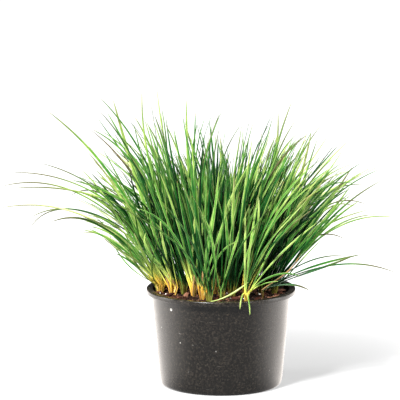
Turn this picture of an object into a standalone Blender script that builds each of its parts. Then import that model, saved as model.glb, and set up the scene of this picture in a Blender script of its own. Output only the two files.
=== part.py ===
"""A dwarf rush in a shallow nursery pot.

The pot is a thin turned shell with a flanged rim and drain holes. It is filled with potting mix, on which
stand the fans of the rush: each fan is one shoot, whose sword leaves grow side by side out of a short crown.
+Z is up, +X is to the right of the side that is looked at, and the origin is on the middle of the pot's foot.
"""

import math
from typing import NamedTuple

import bmesh
import bpy
import numpy as np
from mathutils import Vector
from mathutils.bvhtree import BVHTree

MM = 0.001
GAP = 0.3 * MM

# The pot
POT_HEIGHT = 108 * MM
RIM_RADIUS = 82.5 * MM
MOUTH_RADIUS = 75.5 * MM
WALL = 1.4 * MM
WALL_TAPER = math.radians(5)
LIP_DROP = 5 * MM
RIM_ROUND = 0.9 * MM
FOOT_ROUND = 5 * MM
FOOT_ROUND_POINTS = 3
POT_SIDES = 40
DRAIN_HOLES = 6
DRAIN_RADIUS = 5 * MM
DRAIN_CIRCLE = 46 * MM
DRAIN_SIDES = 10

# The potting mix
SOIL_BELOW_RIM = 4.5 * MM
SOIL_DOME = 2.5 * MM
SOIL_LUMP = 0.8 * MM
SOIL_RINGS = 5
SOIL_SIDES = 24

# A fan's crown, and the leaves that grow from it
CROWN_HEIGHT = 8 * MM
CROWN_FOOT_SHARE = 0.85
CROWN_SINK = 0.5 * MM
LEAF_PITCH = 1.9 * MM
LEAF_FOOT = 1.15 * MM
CROWN_DEPTH = 3 * MM
LEAF_THICKNESS = 0.7 * MM
OUTLINE_STATIONS = (0.16, 0.36, 0.58, 0.80)
RULE_STATIONS = (0.18, 0.44, 0.72)
HANDLE = 0.37
CLEARANCE = 0.3 * MM

# The fans that follow a rule
SEED = 33
PLACES = 54
ROOT_CIRCLE = 66 * MM
ROOT_APART = 13.5 * MM
GOLDEN_ANGLE = math.pi * (3 - math.sqrt(5))
LEAVES_IN_FAN = 5
ATTEMPTS = 40
CHORD = (125 * MM, 185 * MM)
SPREAD = (14 * MM, 30 * MM)
RULE_WIDTH = (2.6, 4.4)
STRAY = 11 * MM
FRONT_SHARE = 0.35

# The camera's side looks down by this much, so a tip that moves along SIGHT keeps its place in the outline
SIGHT_DOWN = math.radians(11.5)
SIGHT = Vector((0, math.cos(SIGHT_DOWN), -math.sin(SIGHT_DOWN)))
SIGHT_STEP = 5 * MM
SIGHT_STEPS = (0, 1, -1, 2, -2, 3, -3, 4, -4, 6, -6, 8, -8, 10)
BENDS = (0, 4, -4, 8, -8)

LEAF_COLOUR = (0.09, 0.24, 0.04, 1)
POT_COLOUR = (0.03, 0.03, 0.032, 1)
SOIL_COLOUR = (0.06, 0.035, 0.02, 1)


class Leaf(NamedTuple):
    """One leaf: where its tip is from the middle of the rim, in mm, and how it gets there.

    It leaves its crown at one angle above level and arrives at its tip at another, both in degrees.
    """

    tip: tuple
    leaves_at: float
    arrives_at: float
    width: float = 3.2
    twist: float = 30


class Fan(NamedTuple):
    """One shoot: its name, where it stands on the potting mix, in mm, its leaves, and how its row is turned."""

    name: str
    root: tuple
    leaves: tuple
    turned: float = 0


# The fans whose leaves make the outline, each leaf measured by eye
OUTLINE_FANS = (
    Fan("left_low", (-67, -6), (
        Leaf((-243, -10, 90), 55, -10, 2.6),
        Leaf((-187, -30, 79), 52, -22, 4.4),
        Leaf((-152, -40, 87), 55, 18, 3.4),
        Leaf((-154, -22, 66), 50, -4, 2.4),
        Leaf((-131, -45, 66), 44, 38, 2.2),
    )),
    Fan("left_droop", (-62, 14), (
        Leaf((-242, 12, 110), 62, -14, 2.4),
        Leaf((-211, -12, 80), 60, -30, 2.6),
        Leaf((-211, 6, 62), 66, -62, 2.2),
        Leaf((-168, 10, 100), 62, -38, 2.6),
        Leaf((-134, 20, 112), 58, 22, 3.4),
    )),
    Fan("left_long", (-46, 4), (
        Leaf((-228, 2, 110), 74, -4, 3.0),
        Leaf((-233, 26, 124), 62, -3, 2.2),
        Leaf((-201, 22, 136), 56, 12, 2.2),
        Leaf((-141, -12, 146), 62, 48, 3.6),
        Leaf((-121, -6, 156), 66, 42, 2.4),
    )),
    Fan("left_sweep", (-54, -22), (
        Leaf((-190, 6, 196), 64, 36, 4.6),
        Leaf((-147, -8, 162), 62, 46, 3.0),
        Leaf((-147, -28, 158), 60, 48, 3.6),
        Leaf((-133, -18, 200), 70, 47, 2.6),
        Leaf((-118, -24, 214), 70, 75, 6.4, 12),
    )),
    Fan("left_tall", (-41, -20), (
        Leaf((-142, -2, 177), 69, 27, 3.0),
        Leaf((-133, -6, 213), 74, 46, 2.6),
        Leaf((-131, 8, 173), 68, 30, 2.8),
        Leaf((-98, -12, 185), 68, 55, 2.8),
        Leaf((-95, -20, 195), 72, 58, 4.2),
    )),
    Fan("left_crest", (-30, -34), (
        Leaf((-86, -28, 225), 72, 92, 3.2),
        Leaf((-82, -24, 189), 70, 56, 3.4),
        Leaf((-78, -14, 168), 74, 66, 4.2),
        Leaf((-73, -18, 196), 75, 68, 5.2),
        Leaf((-66, -4, 198), 77, 84, 2.8),
    )),
    Fan("middle_left", (-26, 0), (
        Leaf((-75, 6, 188), 74, 66, 3.2),
        Leaf((-71, 2, 225), 76, 82, 2.6),
        Leaf((-52, 8, 170), 80, 74, 4.4),
        Leaf((-38, 2, 210), 86, 91, 4.6),
        Leaf((-20, 6, 160), 92, 86, 4.0),
    )),
    Fan("middle_front", (-20, -46), (
        Leaf((-48, -46, 128), 78, 82, 4.4),
        Leaf((-33, -40, 176), 88, 84, 5.0),
        Leaf((-15, -40, 160), 88, 86, 3.2),
        Leaf((1, -34, 204), 92, 60, 2.8),
        Leaf((-2, -30, 184), 88, 76, 3.2),
    )),
    Fan("middle", (-6, -24), (
        Leaf((-40, -26, 190), 96, 74, 3.0),
        Leaf((-1, -18, 168), 90, 94, 3.0),
        Leaf((20, -16, 182), 86, 50, 2.8),
        Leaf((22, -22, 184), 84, 82, 4.0),
        Leaf((34, -12, 184), 82, 74, 3.4),
    ), 10),
    Fan("middle_right", (12, -44), (
        Leaf((4, -52, 118), 94, 90, 4.2),
        Leaf((14, -48, 138), 88, 84, 4.6),
        Leaf((33, -38, 172), 84, 75, 3.0),
        Leaf((30, -56, 104), 88, 96, 4.4),
        Leaf((40, -52, 112), 78, 98, 4.4),
    ), -25),
    Fan("right_crest", (27, -27), (
        Leaf((49, -22, 172), 80, 58, 2.8),
        Leaf((62, -18, 201), 76, 92, 4.2),
        Leaf((77, -20, 211), 73, 68, 3.8),
        Leaf((80, -12, 187), 70, 56, 3.0),
        Leaf((98, -30, 92), 62, 34, 4.2),
    )),
    Fan("right_tall", (32, 2), (
        Leaf((60, 14, 168), 80, 66, 3.8),
        Leaf((84, 6, 172), 68, 42, 2.6),
        Leaf((94, 10, 169), 66, 30, 2.4),
        Leaf((99, -4, 176), 62, 80, 4.6, 15),
        Leaf((109, 0, 181), 66, 52, 2.8),
    )),
    Fan("right_sweep", (46, -12), (
        Leaf((95, -8, 156), 70, 60, 3.4),
        Leaf((105, -14, 168), 64, 72, 3.6),
        Leaf((123, -10, 147), 62, 40, 3.4),
        Leaf((126, -2, 138), 60, 34, 3.0),
        Leaf((110, -22, 119), 50, 42, 6.6, 15),
    )),
    Fan("right_long", (50, 12), (
        Leaf((142, 14, 135), 60, 18, 2.4),
        Leaf((146, 8, 130), 62, 8, 2.8),
        Leaf((145, 2, 136), 52, 58, 4.8, 15),
        Leaf((163, 6, 132), 52, 28, 2.4),
        Leaf((158, 12, 113), 56, -8, 2.8),
    )),
    Fan("right_reach", (59, -16), (
        Leaf((150, -8, 91), 58, -30, 2.4),
        Leaf((176, -6, 121), 50, 28, 3.6),
        Leaf((170, -12, 84), 50, 2, 3.2),
        Leaf((195, -10, 80), 53, -12, 2.6),
        Leaf((112, -30, 61), 46, 42, 2.2),
    )),
    Fan("right_low", (46, -38), (
        Leaf((133, -20, 40), 42, -4, 2.6, 60),
        Leaf((155, -28, 43), 30, 10, 4.0, 70),
        Leaf((143, -42, 43), 24, 22, 4.0, 70),
        Leaf((193, -24, 21), 26, -24, 3.0, 60),
        Leaf((97, -52, 7), 26, -30, 3.2, 60),
    ), 85),
    Fan("front_drape", (27, -60), (
        Leaf((20, -86, -7), 20, -74, 3.0, 0),
        Leaf((31, -87, -13), 24, -78, 2.6, 0),
        Leaf((62, -64, 20), 46, 4, 2.6, 10),
    )),
)


def clear_scene():
    """Removes whatever the file held."""
    for old in list(bpy.data.objects):
        bpy.data.objects.remove(old)


def material(name, colour, roughness):
    """A Principled BSDF of one colour."""
    made = bpy.data.materials.new(name)
    made.use_nodes = True
    shader = made.node_tree.nodes["Principled BSDF"]
    shader.inputs["Base Color"].default_value = colour
    shader.inputs["Roughness"].default_value = roughness
    made.diffuse_color = colour
    return made


def add_object(name, mesh, finish=None):
    """An object in the scene with this mesh."""
    made = bpy.data.objects.new(name, mesh)
    bpy.context.scene.collection.objects.link(made)
    if finish:
        made.data.materials.append(finish)
    return made


def outer_radius(height):
    """The outer radius of the pot's wall at a height above its foot."""
    return MOUTH_RADIUS + WALL - (POT_HEIGHT - height) * math.tan(WALL_TAPER)


def pot_profile():
    """The pot's section, from the middle of its floor, up the inside, over the rim and down the outside."""
    foot = outer_radius(0)
    turns = [math.pi / 2 * k / FOOT_ROUND_POINTS for k in range(FOOT_ROUND_POINTS + 1)]
    lip_foot = POT_HEIGHT - LIP_DROP
    inside_foot = FOOT_ROUND - WALL
    inside = [(0, WALL)] + [
        (foot - FOOT_ROUND + inside_foot * math.sin(a), FOOT_ROUND - inside_foot * math.cos(a)) for a in turns
    ]
    rim = [
        (MOUTH_RADIUS, POT_HEIGHT - RIM_ROUND),
        (MOUTH_RADIUS + RIM_ROUND, POT_HEIGHT),
        (RIM_RADIUS - RIM_ROUND, POT_HEIGHT),
        (RIM_RADIUS, POT_HEIGHT - RIM_ROUND),
        (RIM_RADIUS, lip_foot),
        (RIM_RADIUS - WALL, lip_foot),
        (RIM_RADIUS - WALL, POT_HEIGHT - WALL),
        (outer_radius(POT_HEIGHT - WALL), POT_HEIGHT - WALL),
    ]
    outside = [
        (foot - FOOT_ROUND + FOOT_ROUND * math.sin(a), FOOT_ROUND - FOOT_ROUND * math.cos(a))
        for a in reversed(turns)
    ]
    return inside + rim + outside + [(0, 0)]


def turned(name, profile, sides):
    """A mesh of this profile turned about Z, closed where the profile meets the axis."""
    shape = bmesh.new()
    points = [shape.verts.new((x, 0, z)) for x, z in profile]
    edges = [shape.edges.new(pair) for pair in zip(points, points[1:])]
    bmesh.ops.spin(
        shape, geom=points + edges, axis=(0, 0, 1), cent=(0, 0, 0), angle=2 * math.pi, steps=sides, use_merge=True
    )
    bmesh.ops.remove_doubles(shape, verts=shape.verts, dist=0.01 * MM)
    bmesh.ops.recalc_face_normals(shape, faces=shape.faces)
    mesh = bpy.data.meshes.new(name)
    shape.to_mesh(mesh)
    shape.free()
    return mesh


def drain_cutter():
    """Round bars through the pot's floor, one for each drain hole, which the pot's Boolean cuts away."""
    shape = bmesh.new()
    for k in range(DRAIN_HOLES):
        turn = 2 * math.pi * k / DRAIN_HOLES
        made = bmesh.ops.create_cone(
            shape, cap_ends=True, segments=DRAIN_SIDES, radius1=DRAIN_RADIUS, radius2=DRAIN_RADIUS, depth=6 * WALL
        )
        at = Vector((DRAIN_CIRCLE * math.cos(turn), DRAIN_CIRCLE * math.sin(turn), 0))
        bmesh.ops.translate(shape, verts=made["verts"], vec=at)
    mesh = bpy.data.meshes.new("drain_cutter")
    shape.to_mesh(mesh)
    shape.free()
    cutter = add_object("drain_cutter", mesh)
    cutter.hide_render = True
    cutter.display_type = "WIRE"
    return cutter


def make_pot(finish):
    """The nursery pot, with its drain holes."""
    pot = add_object("pot", turned("pot", pot_profile(), POT_SIDES), finish)
    pot.data.shade_smooth()
    pot.data.set_sharp_from_angle(angle=math.radians(40))
    holes = pot.modifiers.new("drain_holes", "BOOLEAN")
    holes.operation = "DIFFERENCE"
    holes.object = drain_cutter()
    return pot


def soil_height(across, away):
    """The height of the potting mix: a low dome with gentle lumps."""
    out = math.hypot(across, away) / MOUTH_RADIUS
    broad = math.sin(across / (9 * MM) + 1) * math.cos(away / (7 * MM))
    fine = math.sin((across + away) / (5 * MM))
    return POT_HEIGHT - SOIL_BELOW_RIM + SOIL_DOME * (1 - out * out) + SOIL_LUMP * (broad + 0.5 * fine) / 1.5


def make_soil(finish):
    """The potting mix, which fills the pot to just under its rim."""
    inscribed = math.cos(math.pi / POT_SIDES)
    edge = (MOUTH_RADIUS - SOIL_BELOW_RIM * math.tan(WALL_TAPER)) * inscribed - 2 * GAP
    bottom = (outer_radius(FOOT_ROUND) - WALL) * inscribed - 2 * GAP
    floor = WALL + GAP
    shape = bmesh.new()
    middle = shape.verts.new((0, 0, soil_height(0, 0)))
    rings = []
    for ring in range(1, SOIL_RINGS + 1):
        radius = edge * ring / SOIL_RINGS
        spots = [
            (radius * math.cos(turn), radius * math.sin(turn))
            for turn in (2 * math.pi * k / SOIL_SIDES for k in range(SOIL_SIDES))
        ]
        rings.append([shape.verts.new((x, y, soil_height(x, y))) for x, y in spots])
    for radius, height in ((bottom, FOOT_ROUND + GAP), (bottom - FOOT_ROUND, floor)):
        rings.append(
            [
                shape.verts.new((radius * math.cos(turn), radius * math.sin(turn), height))
                for turn in (2 * math.pi * k / SOIL_SIDES for k in range(SOIL_SIDES))
            ]
        )
    for k in range(SOIL_SIDES):
        after = (k + 1) % SOIL_SIDES
        shape.faces.new((middle, rings[0][k], rings[0][after]))
        for inner, outer in zip(rings, rings[1:]):
            shape.faces.new((inner[k], outer[k], outer[after], inner[after]))
    shape.faces.new(list(reversed(rings[-1])))
    mesh = bpy.data.meshes.new("soil")
    shape.to_mesh(mesh)
    shape.free()
    return add_object("soil", mesh, finish)


def tree_of(made):
    """A search tree of an object's evaluated mesh, for the leaves to keep clear of."""
    return BVHTree.FromObject(made, bpy.context.evaluated_depsgraph_get())


def direction(heading, angle):
    """The unit vector with this heading in plan, at this angle above level, in degrees."""
    rise = math.radians(angle)
    return Vector((heading.x * math.cos(rise), heading.y * math.cos(rise), math.sin(rise)))


def width_share(share):
    """How wide a leaf is at this share of its length: full at two fifths, then drawn out to a long point."""
    return math.sin(math.pi * share**0.75) ** 0.6


def foot_corners(root, row, place, spare=0.0):
    """The corners of one leaf's foot on the crown's top, at this distance along the row."""
    half = row * (LEAF_FOOT / 2 + spare)
    deep = Vector((-row.y, row.x, 0)) * (CROWN_DEPTH / 2 + spare)
    foot = root + row * place
    return [foot - half - deep, foot + half - deep, foot + half + deep, foot - half + deep]


def leaf_rings(root, row, place, leaf, tip, stations, spare=0.0):
    """The four corners of a leaf at its foot and at each station, and its tip.

    The middle line is one cubic curve that leaves the foot and arrives at the tip at the leaf's angles. The
    section is a flat rhombus, whose width starts along the row, is carried on from station to station, and turns
    about the line by the leaf's twist on the way up.
    """
    foot = root + row * place
    run = tip - foot
    heading = Vector((run.x, run.y)).normalized() if math.hypot(run.x, run.y) > MM else Vector((1, 0))
    reach = HANDLE * run.length
    one = foot + reach * direction(heading, leaf.leaves_at)
    two = tip - reach * direction(heading, leaf.arrives_at)
    rings = [foot_corners(root, row, place, spare)]
    across = row
    for share in stations:
        rest = 1 - share
        middle = rest**3 * foot + 3 * rest**2 * share * one + 3 * rest * share**2 * two + share**3 * tip
        along = (rest**2 * (one - foot) + 2 * rest * share * (two - one) + share**2 * (tip - two)).normalized()
        across = (across - across.dot(along) * along).normalized()
        through = along.cross(across)
        turn = math.radians(leaf.twist) * share
        side = math.cos(turn) * across + math.sin(turn) * through
        face = along.cross(side)
        half = leaf.width * MM / 2 * width_share(share) + spare
        deep = LEAF_THICKNESS / 2 * (1.6 - share) + spare
        rings.append([middle - side * half, middle - face * deep, middle + side * half, middle + face * deep])
    return rings, tip


def skin_faces(rings):
    """The triangles of a leaf's skin, as places in its list of corners: four to each ring, and then the tip."""
    faces = []
    for ring in range(rings - 1):
        for k in range(4):
            here, after = 4 * ring + k, 4 * ring + (k + 1) % 4
            faces += [(here, after, here + 4), (after, after + 4, here + 4)]
    top, tip = 4 * (rings - 1), 4 * rings
    return faces + [(top + k, top + (k + 1) % 4, tip) for k in range(4)]


def ring_tree(rings, tip):
    """A search tree of one leaf's skin."""
    points = [corner for ring in rings for corner in ring] + [tip]
    return BVHTree.FromPolygons(points, skin_faces(len(rings)))


def places_in_row(count):
    """How far along the row each leaf of a fan stands."""
    return [(k - (count - 1) / 2) * LEAF_PITCH for k in range(count)]


def crown_corners(root, row, count):
    """The crown's top corners, four for each leaf along the row, and its four bottom corners."""
    feet = [foot_corners(root, row, place) for place in places_in_row(count)]
    front = [corner for foot in feet for corner in foot[:2]]
    back = [corner for foot in feet for corner in (foot[3], foot[2])]
    under = root - Vector((0, 0, CROWN_HEIGHT))
    ends = (front[0], front[-1], back[-1], back[0])
    return front, back, [under + (corner - root) * CROWN_FOOT_SHARE for corner in ends]


def crown_tree(root, row, count):
    """A search tree of a crown's block."""
    front, back, bottom = crown_corners(root, row, count)
    top = [front[0], front[-1], back[-1], back[0]]
    sides = [(k, (k + 1) % 4, 4 + (k + 1) % 4, 4 + k) for k in range(4)]
    return BVHTree.FromPolygons(top + bottom, [(0, 1, 2, 3), (4, 5, 6, 7), *sides])


def make_fan(name, root, row, grown, finish):
    """One fan: its crown, and each leaf drawn out of its own place on the crown's top."""
    count = len(grown)
    shape = bmesh.new()
    front, back, bottom = ([shape.verts.new(p) for p in side] for side in crown_corners(root, row, count))
    shape.faces.new(list(reversed(bottom)))
    shape.faces.new([bottom[0], bottom[1], *reversed(front)])
    shape.faces.new([bottom[2], bottom[3], *back])
    shape.faces.new([bottom[3], bottom[0], front[0], back[0]])
    shape.faces.new([bottom[1], bottom[2], back[-1], front[-1]])
    for k in range(2 * count - 1):
        cell = [front[k], front[k + 1], back[k + 1], back[k]]
        if k % 2 or grown[k // 2] is None:
            shape.faces.new(cell)
            continue
        rings, tip = grown[k // 2]
        above = [corner for ring in rings[1:] for corner in ring]
        corners = cell + [shape.verts.new(corner) for corner in [*above, tip]]
        for face in skin_faces(len(rings)):
            shape.faces.new([corners[place] for place in face])
    mesh = bpy.data.meshes.new(name)
    shape.to_mesh(mesh)
    shape.free()
    return add_object(name, mesh, finish)


def top_of_crown(spot, row, count):
    """Where the middle of a crown's top is, so that the crown stands just clear of the lumps under it."""
    reach = count * LEAF_PITCH / 2
    under = [
        soil_height(spot.x + row.x * along - row.y * aside, spot.y + row.y * along + row.x * aside)
        for along in np.linspace(-reach, reach, 7)
        for aside in (-CROWN_DEPTH / 2, 0, CROWN_DEPTH / 2)
    ]
    return Vector((spot.x, spot.y, max(under) + GAP + CROWN_SINK + CROWN_HEIGHT))


def meets(tree, obstacles):
    """Whether a leaf's skin crosses any other skin."""
    return any(tree.overlap(other) for other in obstacles)


def crosses_itself(rings, tip):
    """Whether a leaf bends so sharply from its foot that its skin passes through itself."""
    skin = ring_tree(rings, tip)
    faces = [set(face) for face in skin_faces(len(rings))]
    return any(not faces[one] & faces[other] for one, other in skin.overlap(skin))


def grow(root, row, choices, stations, obstacles):
    """The leaves of one fan, each the first of its choices that meets nothing that already stands."""
    own = []
    grown = []
    for place, options in zip(places_in_row(len(choices)), choices):
        found = None
        for leaf, tip in options:
            rings = leaf_rings(root, row, place, leaf, tip, stations)
            skin = ring_tree(*leaf_rings(root, row, place, leaf, tip, stations, CLEARANCE))
            if not crosses_itself(*rings) and not meets(skin, own) and not meets(skin, obstacles):
                found = rings
                own.append(skin)
                break
        grown.append(found)
    return grown, own


def outline_choices(leaf):
    """The leaf as measured, and then moved back and forth along the sight line, a step further each time."""
    tip = Vector(leaf.tip) * MM + Vector((0, 0, POT_HEIGHT))
    for bend in BENDS:
        changed = leaf._replace(leaves_at=leaf.leaves_at + bend)
        for step in SIGHT_STEPS:
            yield changed, tip + SIGHT * SIGHT_STEP * step


def sideways(leaf, spot, row):
    """How far a leaf sets out along the row: leaves that stand in this order don't cross near their feet."""
    run = Vector(leaf.tip[:2]) * MM - spot
    return run.normalized().dot(row.to_2d()) * math.cos(math.radians(leaf.leaves_at))


def make_outline_fans(finish, obstacles):
    """The fans that make the outline, and the places of their crowns."""
    spots = []
    for fan in OUTLINE_FANS:
        spot = Vector(fan.root) * MM
        row = Vector((math.cos(math.radians(fan.turned)), math.sin(math.radians(fan.turned)), 0))
        leaves = sorted(fan.leaves, key=lambda leaf: sideways(leaf, spot, row))
        root = top_of_crown(spot, row, len(leaves))
        choices = [outline_choices(leaf) for leaf in leaves]
        grown, own = grow(root, row, choices, OUTLINE_STATIONS, obstacles)
        obstacles += own + [crown_tree(root, row, len(leaves))]
        spots.append(spot)
        make_fan("leaf_fan_" + fan.name, root, row, grown, finish)
    return spots


def rule_choices(rng, root, row, heading, lean, place):
    """Tries for one leaf of a fan that follows the rule: the outer leaves of a fan are shorter and lower."""
    out = place - (LEAVES_IN_FAN - 1) / 2
    for _ in range(ATTEMPTS):
        angle = 90 - lean * rng.uniform(0.7, 1.25)
        chord = rng.uniform(*CHORD) * (1 - 0.05 * abs(out))
        bow = rng.uniform(3, 12) + 0.25 * lean
        aside = row * out * rng.uniform(*SPREAD)
        tip = root + chord * direction(heading, angle) + aside
        leaf = Leaf((0, 0, 0), min(angle + bow, 100), angle - bow, rng.uniform(*RULE_WIDTH), rng.uniform(-60, 60))
        yield leaf, tip


def rule_spots(taken):
    """Where the other crowns stand: on a sunflower's spiral, at least a crown's width from those that are there."""
    found = []
    for k in range(PLACES):
        radius = ROOT_CIRCLE * math.sqrt((k + 0.5) / PLACES)
        spot = Vector((radius * math.cos(k * GOLDEN_ANGLE), radius * math.sin(k * GOLDEN_ANGLE)))
        if all((spot - other).length > ROOT_APART for other in taken + found):
            found.append(spot)
    return found


def make_rule_fans(finish, obstacles, taken):
    """The fans behind and between the others: they stand up in the middle and lean out towards the rim.

    Those at the front lean to the side more than forward, which leaves the potting mix in sight there.
    """
    rng = np.random.default_rng(SEED)
    for number, spot in enumerate(rule_spots(taken), 1):
        out = spot.length / ROOT_CIRCLE
        forward = FRONT_SHARE if spot.y < 0 else 1
        heading = Vector((spot.x + rng.normal(0, STRAY), spot.y * forward + rng.normal(0, STRAY))).normalized()
        lean = 8 + 42 * out**1.3 * (0.75 if spot.y < 0 else 1)
        turn = rng.uniform(0, math.pi)
        row = Vector((math.cos(turn), math.sin(turn), 0))
        root = top_of_crown(spot, row, LEAVES_IN_FAN)
        if meets(crown_tree(root, row, LEAVES_IN_FAN), obstacles):
            continue
        choices = [rule_choices(rng, root, row, heading, lean, place) for place in range(LEAVES_IN_FAN)]
        grown, own = grow(root, row, choices, RULE_STATIONS, obstacles)
        obstacles += own + [crown_tree(root, row, LEAVES_IN_FAN)]
        make_fan(f"leaf_fan_{number:02d}", root, row, grown, finish)


def main():
    """Builds the pot, its potting mix and the fans."""
    clear_scene()
    pot = make_pot(material("pot_plastic", POT_COLOUR, 0.45))
    soil = make_soil(material("potting_mix", SOIL_COLOUR, 0.95))
    leaf_green = material("leaf_green", LEAF_COLOUR, 0.4)
    obstacles = [tree_of(pot), tree_of(soil)]
    spots = make_outline_fans(leaf_green, obstacles)
    make_rule_fans(leaf_green, obstacles, spots)


main()
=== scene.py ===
"""The looks of a dwarf rush in a shallow nursery pot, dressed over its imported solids.

Every length is in metres, and every piece is in the solids' own frame: +Z up, the origin on the middle of the
pot's foot, and -Y towards the camera. A leaf of a fan is drawn along the middle line of the solid's own leaf,
so the fine plant and the solids stay together.
"""

import logging
import math
from collections.abc import Iterable, Sequence
from dataclasses import dataclass, field
from enum import Enum

import bpy
import numpy as np
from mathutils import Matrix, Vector
from mathutils.kdtree import KDTree

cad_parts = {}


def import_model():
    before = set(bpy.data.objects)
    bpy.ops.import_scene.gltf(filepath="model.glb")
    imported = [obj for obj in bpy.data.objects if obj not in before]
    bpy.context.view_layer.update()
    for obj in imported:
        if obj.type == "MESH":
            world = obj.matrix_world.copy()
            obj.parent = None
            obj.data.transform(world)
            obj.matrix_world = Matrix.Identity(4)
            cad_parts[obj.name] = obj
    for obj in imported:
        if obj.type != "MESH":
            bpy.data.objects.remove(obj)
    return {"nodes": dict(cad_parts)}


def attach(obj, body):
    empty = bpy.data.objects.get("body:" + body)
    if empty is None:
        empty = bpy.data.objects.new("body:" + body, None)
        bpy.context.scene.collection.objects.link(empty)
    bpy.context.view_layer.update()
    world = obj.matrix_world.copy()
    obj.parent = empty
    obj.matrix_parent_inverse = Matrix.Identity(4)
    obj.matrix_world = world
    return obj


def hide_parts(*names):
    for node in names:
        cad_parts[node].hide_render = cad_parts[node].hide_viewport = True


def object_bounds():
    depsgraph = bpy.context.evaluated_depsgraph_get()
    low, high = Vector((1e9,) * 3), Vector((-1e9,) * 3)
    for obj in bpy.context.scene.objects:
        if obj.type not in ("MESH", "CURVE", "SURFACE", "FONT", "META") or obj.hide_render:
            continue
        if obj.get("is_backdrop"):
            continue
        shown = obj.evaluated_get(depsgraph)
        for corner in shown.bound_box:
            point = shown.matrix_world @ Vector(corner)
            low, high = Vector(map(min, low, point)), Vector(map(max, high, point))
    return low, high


LOG = logging.getLogger("potted_rush")
MM = 0.001

Array = np.ndarray
Socket = bpy.types.NodeSocket
Colour = tuple[float, float, float]
Shades = tuple[tuple[float, Colour], ...]


class Foot(Enum):
    """How a shoot's foot is coloured: how far up the pale stretch reaches, how pale it is, and how orange."""

    GREEN = (8 * MM, 0.1, 0.1)
    EMBER = (13 * MM, 0.7, 0.9)
    GOLDEN = (34 * MM, 1.0, 0.8)
    LIME = (42 * MM, 1.0, 0.7)
    SPRING = (20 * MM, 0.9, 0.5)


class Graph:
    """A node tree while it is being wired."""

    def __init__(self, tree: bpy.types.NodeTree) -> None:
        """Starts on a tree, which keeps the nodes that it has."""
        self.tree = tree

    def node(self, kind: str, inputs: dict[str, object] | None = None, **settings: object) -> bpy.types.Node:
        """Adds one node.

        Args:
            kind: The node's type name.
            inputs: Values or sockets for its inputs, by the input's name.
            settings: The node's own properties.

        Returns:
            The node.
        """
        made = self.tree.nodes.new(kind)
        for name, value in settings.items():
            setattr(made, name, value)
        for name, value in (inputs or {}).items():
            self.feed(made.inputs[name], value)
        return made

    def feed(self, socket: Socket, value: object) -> None:
        """Links a socket into an input, or sets the input to a plain value.

        Args:
            socket: The input.
            value: An output to link, a number, a vector, or a colour of three numbers.
        """
        if isinstance(value, Socket):
            self.tree.links.new(value, socket)
        elif isinstance(value, tuple) and len(value) == 3 and socket.type == "RGBA":
            socket.default_value = (*value, 1)
        else:
            socket.default_value = value

    def math(self, operation: str, *values: object) -> Socket:
        """Works out a number.

        Args:
            operation: The Math node's operation.
            values: One, two or three numbers or sockets.

        Returns:
            The result's socket.
        """
        made = self.node("ShaderNodeMath", operation=operation)
        for socket, value in zip(made.inputs, values):
            self.feed(socket, value)
        return made.outputs[0]

    def varied(self, base: object, by: Socket, amount: float) -> Socket:
        """The base, raised or lowered by an amount times what another value has above or below a half."""
        return self.math("MULTIPLY_ADD", self.math("SUBTRACT", by, 0.5), amount, base)

    def mix(self, factor: object, first: object, second: object) -> Socket:
        """Mixes two colours.

        Args:
            factor: 0 for the first colour, 1 for the second.
            first: The first colour.
            second: The second colour.

        Returns:
            The colour between them.
        """
        made = self.node("ShaderNodeMix", data_type="RGBA")
        for index, value in ((0, factor), (6, first), (7, second)):
            self.feed(made.inputs[index], value)
        return made.outputs[2]

    def span(self, value: object, low: float, high: float, start: float = 0, end: float = 1) -> Socket:
        """The value carried smoothly from low..high to start..end, and held outside."""
        inputs = {"Value": value, "From Min": low, "From Max": high, "To Min": start, "To Max": end}
        return self.node("ShaderNodeMapRange", inputs, interpolation_type="SMOOTHSTEP").outputs[0]

    def ramp(self, factor: object, stops: Shades) -> Socket:
        """Picks a colour from a ramp.

        Args:
            factor: Where on the ramp.
            stops: The ramp's places and colours, at least two.

        Returns:
            The colour.
        """
        made = self.node("ShaderNodeValToRGB", {"Fac": factor})
        elements = made.color_ramp.elements
        while len(elements) < len(stops):
            elements.new(0.5)
        for element, (place, colour) in zip(elements, stops):
            element.position = place
            element.color = (*colour, 1)
        return made.outputs["Color"]

    def noise(self, vector: object, scale: object, detail: float = 4, rough: float = 0.55) -> Socket:
        """A fractal noise from 0 to 1 at this scale."""
        inputs = {"Vector": vector, "Scale": scale, "Detail": detail, "Roughness": rough}
        return self.node("ShaderNodeTexNoise", inputs).outputs["Fac"]

    def stretched(self, vector: object, scale: tuple[float, float, float]) -> Socket:
        """The coordinates scaled along each axis."""
        return self.node("ShaderNodeMapping", {"Vector": vector, "Scale": scale}).outputs[0]

    def bump(self, height: object, strength: float, distance: float) -> Socket:
        """The normal that this height gives."""
        inputs = {"Height": height, "Strength": strength, "Distance": distance}
        return self.node("ShaderNodeBump", inputs).outputs[0]

    def place(self) -> Socket:
        """Where a point is in the piece's own coordinates."""
        return self.node("ShaderNodeTexCoord").outputs["Object"]

    def level(self, vector: Socket, axis: str = "Z") -> Socket:
        """One of a vector's three numbers."""
        return self.node("ShaderNodeSeparateXYZ", {"Vector": vector}).outputs[axis]

    def attribute(self, name: str) -> Socket:
        """A point attribute of the piece, as one number."""
        return self.node("ShaderNodeAttribute", attribute_name=name).outputs["Fac"]

    def group(self, tree: bpy.types.NodeTree, inputs: dict[str, object]) -> dict[str, Socket]:
        """Places a shared effect, with values of its own.

        Args:
            tree: The effect's node group.
            inputs: Values or sockets for its inputs, by name.

        Returns:
            Its outputs by name.
        """
        made = self.node("ShaderNodeGroup", node_tree=tree)
        for name, value in inputs.items():
            self.feed(made.inputs[name], value)
        return {output.name: output for output in made.outputs}


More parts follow.
